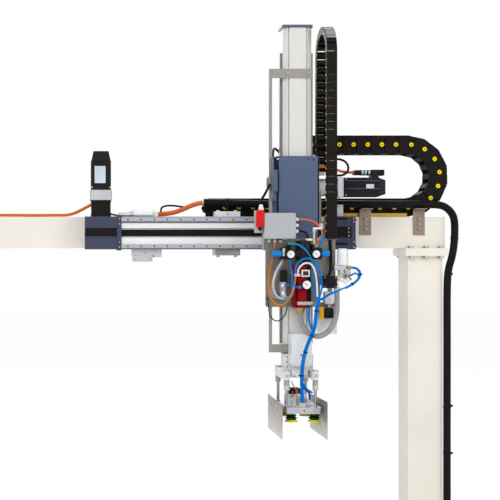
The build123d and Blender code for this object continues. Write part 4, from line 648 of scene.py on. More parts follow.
def skin(name, lines, round_count):
    """A closed mesh tube over lists of centres, sides, tangents and radii."""
    mesh = bpy.data.meshes.new(name)
    build = bmesh.new()
    for line in lines:
        rings = [[build.verts.new(around(centre, side, tangent, 2 * math.pi * k / round_count, radius))
                  for k in range(round_count)] for centre, side, tangent, radius in zip(*line)]
        for one, two in zip(rings, rings[1:]):
            for k in range(round_count):
                after = (k + 1) % round_count
                build.faces.new((one[k], one[after], two[after], two[k]))
        build.faces.new(list(reversed(rings[0])))
        build.faces.new(rings[-1])
    build.to_mesh(mesh)
    build.free()
    mesh.shade_smooth()
    obj = bpy.data.objects.new(name, mesh)
    bpy.context.scene.collection.objects.link(obj)
    return obj


def ribbed(name, points, radius, pitch, depth):
    """A ribbed tube that follows a route, with crests and valleys."""
    centres, tangents = read_line(points, pitch / 4)
    wave = (0.0, 0.5, 1.0, 0.5)
    radii = [radius - depth * wave[k % 4] for k in range(len(centres))]
    return skin(name, [(centres, steady_sides(tangents), tangents, radii)], 20), centres


def stranded(name, points, strands, strand_radius, reach, twist):
    """Several hoses tied together along one route."""
    centres, tangents = read_line(points, 0.006)
    sides = steady_sides(tangents)
    count = len(centres)
    lines = []
    for number in range(strands):
        own = [around(centre, side, tangent, 2 * math.pi * number / strands + twist * k / count, reach)
               for k, (centre, side, tangent) in enumerate(zip(centres, sides, tangents))]
        lines.append((own, sides, tangents, [strand_radius] * count))
    return skin(name, lines, 12), centres


def plain_cord(name, points, diameter):
    """A round cord: the spline itself with its thickness."""
    obj = centreline(name, points)
    obj.data.bevel_depth = diameter / 2
    obj.data.bevel_resolution = 4
    obj.data.use_fill_caps = True
    return obj


def band(radius, width):
    """A cable tie about the Z axis, in millimetres: a flat band with its square head."""
    outer, half = radius + 1.2, width / 2
    ring = turned("tie", [(radius, -half), (outer, -half), (outer, half), (radius, half)], 18)
    head = block("tie_head", (radius, -2.5, -half - 0.6), (radius + 4, 2.5, half + 0.6))
    return join("tie", [ring, soften(head, 0.4)])


def tie_at(points, share):
    """Where a tie goes: a share of the way along a route."""
    centres, tangents = read_line(points, 0.004)
    k = min(len(centres) - 1, round(share * (len(centres) - 1)))
    return facing(centres[k], tangents[k])


def lay_cord(name, body, replaced, route, diameter, length, finish, slot=None, stiffness="medium",
             lay="hanging", make=None, ties=(), **shape):
    """One run of cord, its route and diameter in millimetres: its piece and its ties. Its length, in
    millimetres, is not used.
    """
    points = [metres(point) for point in route]
    width = diameter / 1000
    if make is ribbed:
        obj, path = ribbed(name, points, width / 2, **shape)
    elif make is stranded:
        obj, path = stranded(name, points, **shape)
    else:
        obj, path = plain_cord(name, points, width), None
    settle(obj, body, finish, slot, replaced)
    if ties:
        master = band(diameter / 2 + 0.3, sizes().tie_width / MM)
        made = repeat(name + "_ties", master, [tie_at(points, share) for share in ties])
        settle(made, body, "black")


# Routes of the larger hoses, in millimetres
CONDUIT = (
    (-1032, -98, 1512), (-700, -99, 1500), (-420, -97, 1505), (-200, -98, 1502.5), (-60, -98, 1503),
    (59, -98, 1502), (92, -98, 1489), (117, -99, 1464), (131, -99, 1431), (131, -99, 1345),
    (122, -96, 1265), (101, -91, 1195), (98, -90, 1090), (98.5, -90, 880), (98, -90, 500), (98, -90, 45))

HOSE_BUNDLE = (
    (-582, -502, 1086), (-595, -508, 1046), (-599, -512, 996), (-606, -515, 944), (-629, -514, 898),
    (-645, -509, 846), (-655, -502, 792), (-657, -496, 738), (-655, -488, 694), (-653, -484, 660),
    (-653, -484, 632))

FILTER_LOOP = (
    (-430, -438, 1214), (-415, -438, 1214), (-401, -446, 1206), (-394, -454, 1190), (-400, -461, 1170),
    (-416, -467, 1153), (-444, -473, 1137), (-482, -480, 1121), (-520, -487, 1106), (-553, -494, 1092),
    (-574, -500, 1076))

VACUUM_HOSE = (
    (-492, -440, 1110), (-492, -440, 1080), (-494, -451, 1044), (-500, -466, 1005), (-518, -479, 963),
    (-548, -487, 930), (-585, -491, 915), (-620, -489, 928), (-643, -468, 952), (-652, -448, 981),
    (-652, -448, 1010))

# Plain runs by the body that carries them: name, CAD node, diameter, length, finish, route and, where it's
# not the finish's own, the slot, in millimetres
RUNS = {
    "frame": (
        ("power_lead", "motor_cables", 14, 546, "orange_sheath", (
            (-1525.5, -75.5, 1593), (-1525.5, -75.5, 1527), (-1541, -75.5, 1508), (-1580, -73, 1488),
            (-1625, -70, 1464), (-1665, -66, 1453), (-1730, -60, 1454), (-1800, -56, 1453),
            (-1900, -56, 1454), (-1985, -56, 1454))),
        ("arch_lead", "motor_cables", 9, 150, "black_sheath", (
            (-1228, -62, 1455), (-1229, -63, 1478), (-1221, -66, 1494), (-1190, -70, 1499),
            (-1150, -77, 1496), (-1112, -86, 1488))),
        ("encoder_lead", "motor_cables", 10, 348, "grey_hose", (
            (-1495.5, -75.5, 1593), (-1495.5, -75.5, 1518), (-1490, -77, 1484), (-1466, -80, 1458),
            (-1420, -78, 1451), (-1340, -66, 1451), (-1262, -62, 1457)), "cable_black"),
        ("cable_bundle", "motor_cables", 22, 239, "orange_sheath", (
            (-1264, -62, 1457), (-1190, -67, 1459), (-1130, -82, 1478), (-1080, -95, 1503),
            (-1037, -98, 1511))),
    ),
    "x_carriage": (
        ("lift_motor_lead", "z_motor_cables", 12, 202, "orange_sheath", (
            (-368, -240, 1641), (-400, -240, 1641), (-432, -241, 1647), (-462, -245, 1658),
            (-500, -248, 1668), (-566, -248, 1668))),
        ("cooling_hose", "z_motor_cables", 10, 270, "black_sheath", (
            (-566, -262, 1684), (-540, -262, 1684), (-500, -262, 1697), (-452, -261, 1701),
            (-424, -260, 1696), (-404, -259, 1680), (-398, -258, 1658), (-406, -258, 1639),
            (-422, -258, 1628), (-442, -258, 1626), (-462, -258, 1626))),
        ("sensor_lead", "z_motor_cables", 11, 287, "black_sheath", (
            (-700, -248, 1690), (-700, -248, 1712), (-709, -252, 1732), (-726, -268, 1744),
            (-741, -298, 1746), (-751, -332, 1731), (-757, -360, 1709), (-758.5, -380, 1694),
            (-758.5, -401, 1692.5), (-759, -420, 1689), (-760, -434, 1676), (-760, -437, 1658),
            (-760, -437, 1640))),
    ),
    "z_axis": (
        ("switch_lead", "power_cables", 11, 139, "black_sheath", (
            (-780, -402, 1577), (-780, -422, 1577), (-788, -440, 1569), (-799, -454, 1550),
            (-812, -464, 1528), (-827, -469, 1506), (-827, -469, 1487))),
        ("valve_lead", "power_cables", 8, 71, "black_sheath", (
            (-662, -452, 1372), (-645, -452, 1372), (-628, -450, 1367), (-620, -446, 1352),
            (-620, -446, 1332))),
        ("loop_wire", "power_cables", 5, 257, "black_sheath", (
            (-792, -416, 1082), (-792, -432, 1082), (-791, -441, 1070), (-790, -441, 1044),
            (-785, -436, 1012), (-772, -428, 990), (-753, -422, 979), (-733, -414, 984), (-716, -407, 998),
            (-705, -401, 1022), (-702, -400, 1042), (-702, -400, 1060))),
        ("box_lead", "orange_cables", 8, 190, "orange_sheath", (
            (-662, -452, 1424), (-640, -452, 1424), (-612, -453, 1421), (-584, -454, 1408),
            (-565, -455, 1387), (-558, -455, 1364), (-566, -455, 1342), (-580, -455, 1327),
            (-580, -455, 1311.5))),
        ("left_lead", "orange_cables", 8, 456, "ochre_sheath", (
            (-765, -452, 1323.5), (-765, -452, 1310), (-765, -442, 1297), (-766, -430, 1284),
            (-768, -427, 1264), (-774, -434, 1243), (-783, -450, 1222), (-791, -468, 1193),
            (-796, -481, 1159), (-797, -490, 1125), (-791, -495, 1087), (-772, -499, 1058),
            (-745, -503, 1051), (-720, -506, 1068), (-703, -508, 1098), (-694, -505, 1126),
            (-687, -497, 1146), (-682, -489, 1162), (-682, -489, 1176))),
        ("bundle_branch", "air_hoses", 10, 108, "blue_hose", (
            (-652, -489, 706), (-640, -480, 690), (-626, -462, 680), (-616, -446, 675), (-611, -435, 662),
            (-609, -430, 648), (-609, -430, 638))),
        ("second_strand", "air_hoses", 10, 140, "blue_hose", (
            (-618, -468, 1053), (-618, -468, 1030), (-624, -482, 1000), (-622, -498, 970),
            (-613, -510, 945), (-608, -514, 925))),
        ("blue_arch", "air_hoses", 8, 304, "blue_hose", (
            (-683, -489, 1188), (-683, -489, 1206), (-679, -501, 1230), (-661, -511, 1249),
            (-634, -513, 1257), (-605, -512, 1246), (-586, -510, 1218), (-576, -508, 1180),
            (-571, -506, 1140), (-574, -504, 1108), (-583, -502, 1080))),
        ("white_arch", "air_hoses", 8, 234, "white_hose", (
            (-672, -489, 1188), (-672, -489, 1203), (-662, -501, 1224), (-640, -508, 1237),
            (-617, -508, 1231), (-602, -508, 1205), (-595, -507, 1168), (-592, -505, 1126),
            (-590, -502, 1090))),
        ("inner_strand", "air_hoses", 8, 139, "blue_hose", (
            (-613, -455, 1196), (-613, -472, 1196), (-607, -487, 1180), (-604, -495, 1150),
            (-602, -499, 1115), (-597, -503, 1080))),
        ("gauge_link", "air_hoses", 8, 207, "blue_hose", (
            (-701, -461, 1251.5), (-701, -461, 1236), (-699, -475, 1218), (-697, -489, 1196),
            (-696, -492, 1168), (-697, -491, 1141), (-695, -487, 1120), (-690, -475, 1101),
            (-690, -461, 1089), (-698, -452, 1084), (-710, -452, 1084))),
        ("ejector_link", "air_hoses", 8, 66, "blue_hose", (
            (-728, -466, 1136), (-712, -468, 1137), (-697, -477, 1138), (-684, -488, 1130),
            (-668, -488, 1130))),
        ("grey_hose", "air_hoses", 14, 217, "grey_hose", (
            (-728, -440, 1251.5), (-728, -440, 1236), (-744, -450, 1220), (-760, -462, 1194),
            (-772, -471, 1160), (-781, -474, 1128), (-780, -469, 1106), (-770, -459, 1088),
            (-757, -452, 1084), (-742, -452, 1084))),
        ("outer_hose", "air_hoses", 9, 216, "pale_hose", (
            (-738, -468, 1238), (-757, -484, 1215), (-776, -494, 1175), (-781, -497, 1135),
            (-770, -496, 1098), (-745, -490, 1078), (-716, -482, 1078))),
        ("wide_branch", "air_hoses", 9, 70, "blue_hose", (
            (-650, -500, 716), (-640, -494, 698), (-624, -482, 684), (-606, -470, 674))),
        ("gripper_wire", "orange_cables", 5, 60, "ochre_sheath", (
            (-694, -462, 722), (-686, -464, 702), (-675, -460, 686), (-664, -452, 676))),
        ("riser_hose", "air_hoses", 9.5, 64, "blue_hose", (
            (-557, -460, 1362), (-559, -466, 1345), (-566, -470, 1325), (-575, -464, 1301))),
        ("cross_hose", "air_hoses", 8, 128, "turquoise", (
            (-712, -478, 1316), (-690, -484, 1320), (-662, -488, 1311), (-640, -488, 1293),
            (-622, -486, 1272), (-613, -480, 1254))),
        ("left_hose", "air_hoses", 8, 105, "turquoise", (
            (-690, -500, 1152), (-690, -504, 1122), (-703, -505, 1098), (-722, -502, 1080),
            (-740, -494, 1070))),
        ("rear_strand", "air_hoses", 8, 145, "blue_hose", (
            (-600, -470, 1238), (-594, -482, 1215), (-589, -492, 1180), (-588, -497, 1140),
            (-590, -499, 1100))),
        ("loop_strand", "air_hoses", 8, 130, "blue_hose", (
            (-438, -446, 1176), (-420, -450, 1192), (-403, -460, 1186), (-405, -468, 1163),
            (-430, -474, 1141), (-464, -476, 1125))),
        ("chain_tail", "power_cables", 14, 190, "black_sheath", (
            (-517, -413, 1332), (-516, -426, 1300), (-517, -434, 1250), (-519, -440, 1205),
            (-530, -448, 1175), (-548, -454, 1160))),
    ),
}

# Blocks on the lift's plate by the CAD node that they stand for: name, finish, two corners, edge and,
# where it's not the finish's own, the slot
BLOCKS = {
    "vacuum_ejector": (
        ("ejector_body", "ejector", (-669.5, -482, 1040), (-630.5, -416, 1226), 6),
        ("ejector_left_cover", "ejector", (-685, -455, 1040), (-669.5, -416, 1226), 2),
        ("ejector_right_cover", "valve", (-630.5, -455, 1040), (-607, -416, 1226), 2),
        ("ejector_clamp", "zinc", (-672, -488, 1053), (-594, -440, 1068), 2),
        ("ejector_manifold", "cast", (-688, -496, 1176), (-662, -482, 1188), 1.5),
        ("ejector_link", "knob", (-668, -494, 1124), (-657, -482, 1136), 1.5),
    ),
    "filter_unit": (
        ("bowl_base", "cast", (-504, -445, 1202), (-452, -416, 1224), 2),
        ("valve_upper", "valve", (-555, -455, 1125), (-494, -416, 1177), 2.5),
        ("valve_middle", "cast", (-548, -450, 1055), (-507, -412, 1110), 2.5),
        ("valve_lower", "valve", (-550, -448, 994), (-508, -412, 1038), 2.5),
        ("valve_neck_high", "zinc", (-530, -430, 1110), (-510, -420, 1125), 1),
        ("valve_neck_low", "zinc", (-530, -430, 1038), (-510, -420, 1055), 1),
        ("cluster_block", "white", (-482, -446, 1152), (-462, -426, 1172), 3),
        ("cluster_foot", "cast", (-500, -444, 1133), (-484, -424, 1150), 2),
        ("yellow_tag", "tag", (-567, -450, 988), (-551, -441, 1043), 1),
    ),
    "valve_block": (
        ("left_valve_top", "valve", (-735, -462, 1152), (-712, -416, 1204), 3),
        ("left_valve_body", "cast", (-742, -448, 1100), (-711, -416, 1152), 2.5),
        ("left_valve_port", "white", (-740, -474, 1130), (-728, -448, 1142), 2),
    ),
    "limit_switch": (
        ("switch_body", "red", (-847.5, -486, 1390.5), (-814.5, -452, 1463.5), 4),
        ("switch_angle", "zinc", (-854, -452, 1365), (-814, -448, 1462), 1),
    ),
    "regulators": (
        ("regulator_left", "valve", (-736, -475, 1251.5), (-706, -416, 1299.5), 2.5),
        ("regulator_right", "valve", (-594, -475, 1251.5), (-565, -416, 1299.5), 2.5),
        ("bonnet_left", "valve", (-706, -469, 1251.5), (-696, -416, 1315.5), 1.5),
        ("bonnet_right", "valve", (-604, -469, 1251.5), (-594, -416, 1315.5), 1.5),
        ("crossbar", "motor", (-696, -467, 1261.5), (-604, -416, 1289.5), 3),
        ("filter_back", "motor", (-667, -446, 1252), (-607, -416, 1328), 1.5),
        ("regulator_side", "cast", (-735, -476.5, 1264), (-724, -475, 1297), 0.6, "valve_dark"),
    ),
    "gripper_fittings": (
        ("gripper_valve_tall", "white", (-707, -440, 613), (-666, -400, 618), 1),
        ("gripper_valve_cap", "valve", (-701, -440, 664), (-650, -380, 688), 3),
        ("gripper_valve_low", "white", (-622.5, -440, 613), (-595.5, -400, 624), 2),
        ("gripper_valve_rear", "cast", (-700, -360, 613), (-604, -320, 653), 2.5),
        ("gripper_manifold", "beige", (-667, -498, 613), (-639, -470, 632), 2),
    ),
}

# Directions of the slanting pieces at the filter and the box
SLANT = Vector((0.8, 0, 0.6))
LOW_SLANT = Vector((0.85, 0, 0.53))
LEAN = Vector((-0.3, 0, 0.95))
NEARLY_RIGHT = Vector((0.99, 0, 0.12))

# Turned pieces in the same way: name, finish, place, direction, rings, sides and slot
ROUNDS = {
    "vacuum_ejector": (
        ("silencer", "brass", (-652, -448, 1010), UP,
         [(13, 0), (14, 1), (18, 15), (18, 16), (19.5, 18), (22, 30)], 28),
    ),
    "filter_unit": (
        ("filter_bowl", "white", (-465.5, -430, 1224), UP,
         [(25, 0), (26, 1), (26, 10), (24.6, 11), (24.6, 60), (23, 68), (18, 73), (10, 74)], 32),
        ("bowl_neck", "cast", (-470, -430, 1188), UP, bush(16, 24), 24),
        ("bowl_elbow", "beige", (-484, -430, 1188), RIGHT, bush(13, 52, 2), 24),
        ("bowl_riser", "cast", (-440, -430, 1186), UP, bush(10, 36), 20),
        ("bowl_port", "brass", (-444, -438, 1214), RIGHT, bush(8, 14), 20),
        ("hose_nut", "cast", (-492, -440, 1110), UP, hexagon(15, 18), 6),
        ("slant_valve", "beige", (-502, -436, 1158), SLANT, bush(11, 44, 2), 20),
        ("slant_nut", "cast", (-478, -437, 1176), SLANT, hexagon(14, 9), 6),
        ("cluster_body", "white", (-466, -446, 1150), LOW_SLANT, bush(9, 40, 2), 20),
        ("cluster_tip", "beige", (-446, -448, 1180), LEAN, bush(6.5, 30, 2), 16, "gauge_white"),
        ("cluster_nut", "cast", (-452, -448, 1166), LEAN, hexagon(10, 12), 6),
        ("cluster_ring", "ink", (-440, -446, 1166), LOW_SLANT, bush(9.8, 5), 20, "zinc_steel"),
        ("cluster_port", "brown", (-458, -456, 1178), FRONT, bush(5, 8), 16),
    ),
    "valve_block": (
        ("left_valve_barrel", "cast", (-726, -448, 1086), UP,
         [(13, 0), (15, 2), (15, 20), (13.5, 22), (13.5, 30), (15, 32), (15, 64), (13, 66)], 24),
        ("left_valve_tee", "grey_hose", (-742, -452, 1084), RIGHT, bush(8, 32), 20),
    ),
    "limit_switch": (
        ("switch_gland", "white", (-827, -469, 1462), UP,
         [(11, 0), (12, 1), (12, 9), (9, 11), (9, 20), (7.5, 25)], 24),
        ("switch_gland_nut", "white", (-827, -469, 1468), UP, hexagon(12.6, 6), 6),
        ("switch_plunger", "valve", (-831, -469, 1390.5), DOWN, [(7, 0), (7, 12), (4, 16.5)], 20),
    ),
    "regulators": (
        ("regulator_stud", "brass", (-580, -455, 1299.5), UP, hexagon(7, 12), 6),
        ("filter_body", "motor", (-637, -446, 1240), UP,
         [(26, 0), (29, 4), (30, 10), (30, 86), (28, 90), (22, 92)], 36),
        ("filter_ring", "white", (-617, -455, 1331), UP, [(15, 0), (16, 1.5), (16, 7), (14, 9)], 28),
        ("riser_fitting", "beige", (-595, -458, 1299), UP,
         [(5, 0), (6.5, 1), (6.5, 10), (5, 12), (5, 66), (8, 68), (8, 80), (6, 82)], 20, "gauge_white"),
        ("cross_fitting", "white", (-600, -458, 1382), NEARLY_RIGHT,
         [(6, 0), (7, 1), (7, 9), (5, 10), (5, 30), (6.5, 31), (6.5, 38)], 20),
    ),
    "gripper_fittings": (
        ("gripper_cylinder_a", "white", (-697, -420, 618), UP, bush(9.5, 46, 2), 20),
        ("gripper_cylinder_b", "white", (-676, -420, 618), UP, bush(9.5, 46, 2), 20),
        ("gripper_cylinder_c", "white", (-609, -420, 624), UP, bush(10, 14, 2), 20),
        ("gripper_stud", "red", (-686, -440, 673), FRONT, bush(5, 12), 16),
        ("manifold_port_a", "beige", (-660, -484, 632), UP, bush(5, 6), 16),
        ("manifold_port_b", "brown", (-646, -484, 632), UP, bush(5, 6), 16),
    ),
}


class GANTRY_OT_stage(bpy.types.Operator):
    """Puts up the camera, the lamps, the pale world and the floor."""
    bl_idname = "gantry.stage"
    bl_label = "Stage"

    eye = Vector((-1.675, -5.660, 1.282))
    aim = Vector((-0.8, 0, 1.3))
    # Name, place, size and power
    lamps = (("key", (-4.5, -6.0, 5.5), 4.0, 270), ("fill", (3.5, -5.0, 2.6), 3.5, 90),
             ("back", (-0.5, 5.0, 4.5), 3.5, 120))
    world_light = 0.5
    floor_share, floor_glow = 0.82, 1.09

    def execute(self, context):
        scene = context.scene
        camera = bpy.data.cameras.new("camera")
        camera.sensor_width = 36
        camera.lens = 86.4
        camera.shift_x = 0.37
        camera.shift_y = 0.004
        camera.clip_end = 60
        scene.camera = self.stand(scene, "camera", camera, self.eye)
        scene.camera.rotation_euler = (math.radians(90), 0, 0)
        for name, place, size, power in self.lamps:
            lamp = bpy.data.lights.new(name, "AREA")
            lamp.size = size
            lamp.energy = power
            turn = (self.aim - Vector(place)).to_track_quat("-Z", "Y")
            self.stand(scene, name, lamp, place).rotation_euler = turn.to_euler()
        self.light_world(scene)
        self.lay_floor()
        scene.view_settings.view_transform = "Standard"
        return {"FINISHED"}

    def stand(self, scene, name, data, place):
        obj = bpy.data.objects.new(name, data)
        obj.location = place
        scene.collection.objects.link(obj)
        return obj

    def seen_directly(self, owner):
        """1 for rays from the camera, from gloss and through glass, otherwise 0."""
        path = node(owner, "ShaderNodeLightPath")
        total = path.outputs["Is Camera Ray"]
        for name in ("Is Glossy Ray", "Is Transmission Ray"):
            total = reckon(owner, "MAXIMUM", total, path.outputs[name])
        return total

    def light_world(self, scene):
        world = scene.world = bpy.data.worlds.new("pale world")
        world.use_nodes = True
        background = world.node_tree.nodes["Background"]
        background.inputs["Color"].default_value = (1, 1, 1, 1)
        level = span(world, self.seen_directly(world), To_Min=self.world_light, To_Max=1.0)
        feed(world, background.inputs["Strength"], level)

    def lay_floor(self):
        take()
        bpy.ops.mesh.primitive_plane_add(size=40, location=(-1, 0, 0))
        floor = bpy.context.object
        floor.name = "floor"
        made = start_material("floor_white", (0.9, 0.9, 0.9), 0.9)
        nodes = made.node_tree.nodes
        mix = node(made, "ShaderNodeMixShader")
        feed(made, mix.inputs[0], reckon(made, "MULTIPLY", self.seen_directly(made), self.floor_share))
        feed(made, mix.inputs[1], nodes["Principled BSDF"].outputs[0])
        feed(made, mix.inputs[2], node(made, "ShaderNodeEmission", Strength=self.floor_glow).outputs[0])
        feed(made, nodes["Material Output"].inputs["Surface"], mix.outputs[0])
        floor.data.materials.append(made)


class GANTRY_OT_finishes(bpy.types.Operator):
    """Mixes the finishes and paints every CAD node."""
    bl_idname = "gantry.finishes"
    bl_label = "Finishes"

    def execute(self, context):
        mix_finishes()
        for finish, names in NODE_FINISH.items():
            for name in names.split():
                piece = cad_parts[name]
                if not piece.material_slots:
                    piece.data.materials.append(None)
                for place in piece.material_slots:
                    place.material = FINISH[finish]
        return {"FINISHED"}


class GANTRY_OT_cords(bpy.types.Operator):
    """Lays the conduit, the motor leads, the air hoses and the vacuum hose."""
    bl_idname = "gantry.cords"
    bl_label = "Cords and hoses"

    def execute(self, context):
        size = sizes()
        lay_cord("conduit_hose", "frame", "conduit", CONDUIT, 36, 2585, "black_sheath", stiffness="stiff",
                 make=ribbed, pitch=size.rib_pitch, depth=0.0016,
                 ties=(0.0435, 0.293, 0.388, 0.495, 0.561, 0.8, 0.882))
        for body, runs in RUNS.items():
            lay = "loose" if body == "frame" else "hanging"
            for name, replaced, diameter, length, finish, route, *slot in runs:
                lay_cord(name, body, replaced, route, diameter, length, finish, *slot, lay=lay)
        lay_cord("hose_bundle", "z_axis", "air_hoses", HOSE_BUNDLE, 18, 467, "blue_hose", make=stranded,
                 strands=3, strand_radius=0.0044, reach=0.0046, twist=2.2, ties=(0.13, 0.36, 0.52, 0.74))
        lay_cord("filter_loop", "z_axis", "air_hoses", FILTER_LOOP, 12, 276, "blue_hose", make=stranded,
                 strands=2, strand_radius=0.0032, reach=0.0029, twist=3.0, ties=(0.2, 0.42))
        lay_cord("vacuum_hose_ribbed", "z_axis", "vacuum_hose", VACUUM_HOSE, 24, 379, "grey_hose",
                 stiffness="stiff", make=ribbed, pitch=size.hose_rib_pitch, depth=0.0012)
        return {"FINISHED"}


class GANTRY_OT_chain_plugs(bpy.types.Operator):
    """Sets the caps on the joints of both energy chains."""
    bl_idname = "gantry.chain_plugs"
    bl_label = "Chain plugs"

    def execute(self, context):
        self.beam_chain(sizes().x_plug / MM)
        self.lift_chain(sizes().z_plug / MM)
        return {"FINISHED"}

    def beam_chain(self, radius):
        pitch, low, high, turn, bend = 66.0, 1490.0, 1784.12, math.radians(180 / 7), 147.06
        middle = low + bend
        arc = [(-72 + bend * math.sin(turn * i - 0.1), middle - bend * math.cos(turn * i - 0.1))
               for i in range(1, 8)]
        runs = (("frame", "x_chain_fixed_plugs", [(-929 + pitch * i, low) for i in range(8)]),
                ("x_chain_loop", "x_chain_loop_plugs", [(-401 + pitch * i, low) for i in range(6)] + arc),
                ("x_carriage", "x_chain_moving_plugs", [(-129 - pitch * i, high) for i in range(7)]))
        for body, name, joints in runs:
            placements = [facing(metres((x, side.y * 55, z)), side) for x, z in joints
                          for side in (FRONT, REAR)]
            settle(repeat(name, cap(radius, 2.2), placements), body, "plug")
            centres = [facing(metres((x, -57.2, z)), FRONT) for x, z in joints]
            settle(repeat(name + "_centres", cap(radius * 0.22, 0.6), centres), body, "ink", "black_plastic")

    def lift_chain(self, radius):
        pitch, front, rear, turn, bend = 34.0, -433.2, -216.8, math.radians(18), 108.2
        arc = [(-325 - bend * math.cos(turn * k), 2155 + bend * math.sin(turn * k)) for k in range(1, 10)]
        runs = (("z_axis", "z_chain_moving_plugs", [(front, 1339 + pitch * i) for i in range(25)]),
                ("x_carriage", "z_chain_fixed_plugs", [(rear, 1645 + pitch * i) for i in range(10)]),
                ("z_chain_loop", "z_chain_loop_plugs", [(rear, 1985 + pitch * i) for i in range(6)] + arc))
        for body, name, joints in runs:
            placements = [facing(metres((-515 + side.x * 22, y, z)), side) for y, z in joints
                          for side in (LEFT, RIGHT)]
            settle(repeat(name, cap(radius, 1.6), placements), body, "plug")


class GANTRY_OT_chain_reach(bpy.types.Operator):
    """Gives each half turn hidden links that close the gap once its moving run draws away."""
    bl_idname = "gantry.chain_reach"
    bl_label = "Chain reach"

    def execute(self, context):
        for chain, along, parts in (("x_chain", 0, ("", "_plugs", "_plugs_centres")),
                                    ("z_chain", 2, ("", "_plugs"))):
            corners = bpy.data.objects[chain + "_moving"].bound_box
            low, high = Vector(corners[0]), Vector(corners[6])
            middle = (low + high) / 2
            shrink = [1 - 2 * sizes().reach_gap / side for side in high - low]
            shrink[along] = 1
            inward = Matrix.Translation(middle) @ Matrix.Diagonal((*shrink, 1)) @ Matrix.Translation(-middle)
            for part, finish in zip(parts, ("black", "plug", "ink")):
                name = chain + "_reach" + part
                made = bpy.data.objects.new(name, bpy.data.objects[chain + "_moving" + part].data.copy())
                made.data.transform(inward)
                context.scene.collection.objects.link(made)
                take(made)
                bpy.ops.object.mode_set(mode="EDIT")
                bpy.ops.mesh.select_all(action="SELECT")
                bpy.ops.mesh.remove_doubles(threshold=0.00001)
                bpy.ops.object.mode_set(mode="OBJECT")
                settle(made, chain + "_loop", finish, "black_plastic")
        return {"FINISHED"}


class GANTRY_OT_beam_axis(bpy.types.Operator):
    """Dresses the horizontal axis: screws, belt covers, plates, cable sleeve, saddle and tie heads."""
    bl_idname = "gantry.beam_axis"
    bl_label = "Horizontal axis"

    def execute(self, context):
        head = sizes().cap_screw / MM
        small = head * 0.7
        rails = [(-938.5 + 60 * (i - 7.5), -194.2, 1369 + side * 61) for i in range(16) for side in (-1, 1)]
        screws("x_rail_screws", "frame", rails, sizes().rail_screw / MM, 4.2, "ink", "rail_steel")
        plate("drive_belt_cover", "frame", "black", (-1583, -196.6, 1354), (-1438, -195, 1392), 3, 0.6)
        plate("idler_belt_cover", "frame", "black", (-458, -196.6, 1348), (-371, -195, 1397), 3, 0.6)
        for name, z in (("head_slot_high", 1429), ("head_slot_low", 1315)):
            form(name, "frame", "ink", (-458, -196, z), (-388, -195, z + 9), 0.5, slot="slate_paint")
        saddle = [(18.5, 0), (23.5, 0), (23.5, 3), (21.5, 4), (21.5, 10), (23.5, 11), (23.5, 14), (18.5, 14)]
        lathe("conduit_saddle", "frame", "black", (-932, -98, 1508), RIGHT, saddle, 28, slot="cable_black")
        for letter, x, z in (("a", 142, 1371), ("b", 117, 1180), ("c", 117, 569), ("d", 117, 349)):
            form("tie_head_" + letter, "frame", "black", (x - 2, -96, z - 5), (x + 7, -86, z + 5))
        form("saddle_strap", "frame", "black", (-930, -123, 1472), (-920, -117, 1506), slot="cable_black")
        form("clamp_foot", "frame", "clamps", (-1364, -168, 1238), (-1274, -112, 1265), 3)
        places = [(-383, -196.6, z) for z in (1356, 1373, 1390)]
        places += [(-360, -195, z) for z in (1434, 1419, 1328, 1304)]
        places += [(-1427.5, -195, z) for z in (1434, 1410, 1328, 1304)]
        screws("head_screws", "frame", places, small, 2.6)
        places = [(x, -190.5, 1577) for x in (-1552, -1469)]
        screws("motor_flange_screws", "frame", places, small * 1.2, 3, "cast")
        plate("motor_label", "frame", "label", (-1540, -192, 1596), (-1490, -190.5, 1674), 3, -0.5)
        screws("foot_screws", "frame", [(x, -168, 1251) for x in (-1354, -1284)], small, 3)
        places = [(-931, -171.4, 1280), (-1308, -170, 1280), (-931, -170, 1456)]
        screws("clamp_screws", "frame", places, head, 4)
        plate("clamp_cover", "frame", "guard", (-986, -171.4, 1268), (-876, -170, 1293), 4, -0.5)
        sleeve = [(8, 0)] + [(12 if i % 2 else 10.5, 2 + i * 4) for i in range(22)] + [(8, 90)]
        lathe("cable_sleeve", "frame", "white", (-1362, -182, 1458), RIGHT, sleeve, 20, slot="cable_black")
        lathe("sleeve_nut", "frame", "cast", (-1380, -182, 1458), RIGHT, hexagon(12, 18), 6)
        lathe("sleeve_rod", "frame", "steel_x", (-1430, -182, 1460), RIGHT, bush(2.5, 52, 0.5), 12)
        places = [(x, -86, z) for x in (-278, -29) for z in (1390, 1412, 1434)]
        screws("bracket_screws", "frame", places, head, 4)
        return {"FINISHED"}


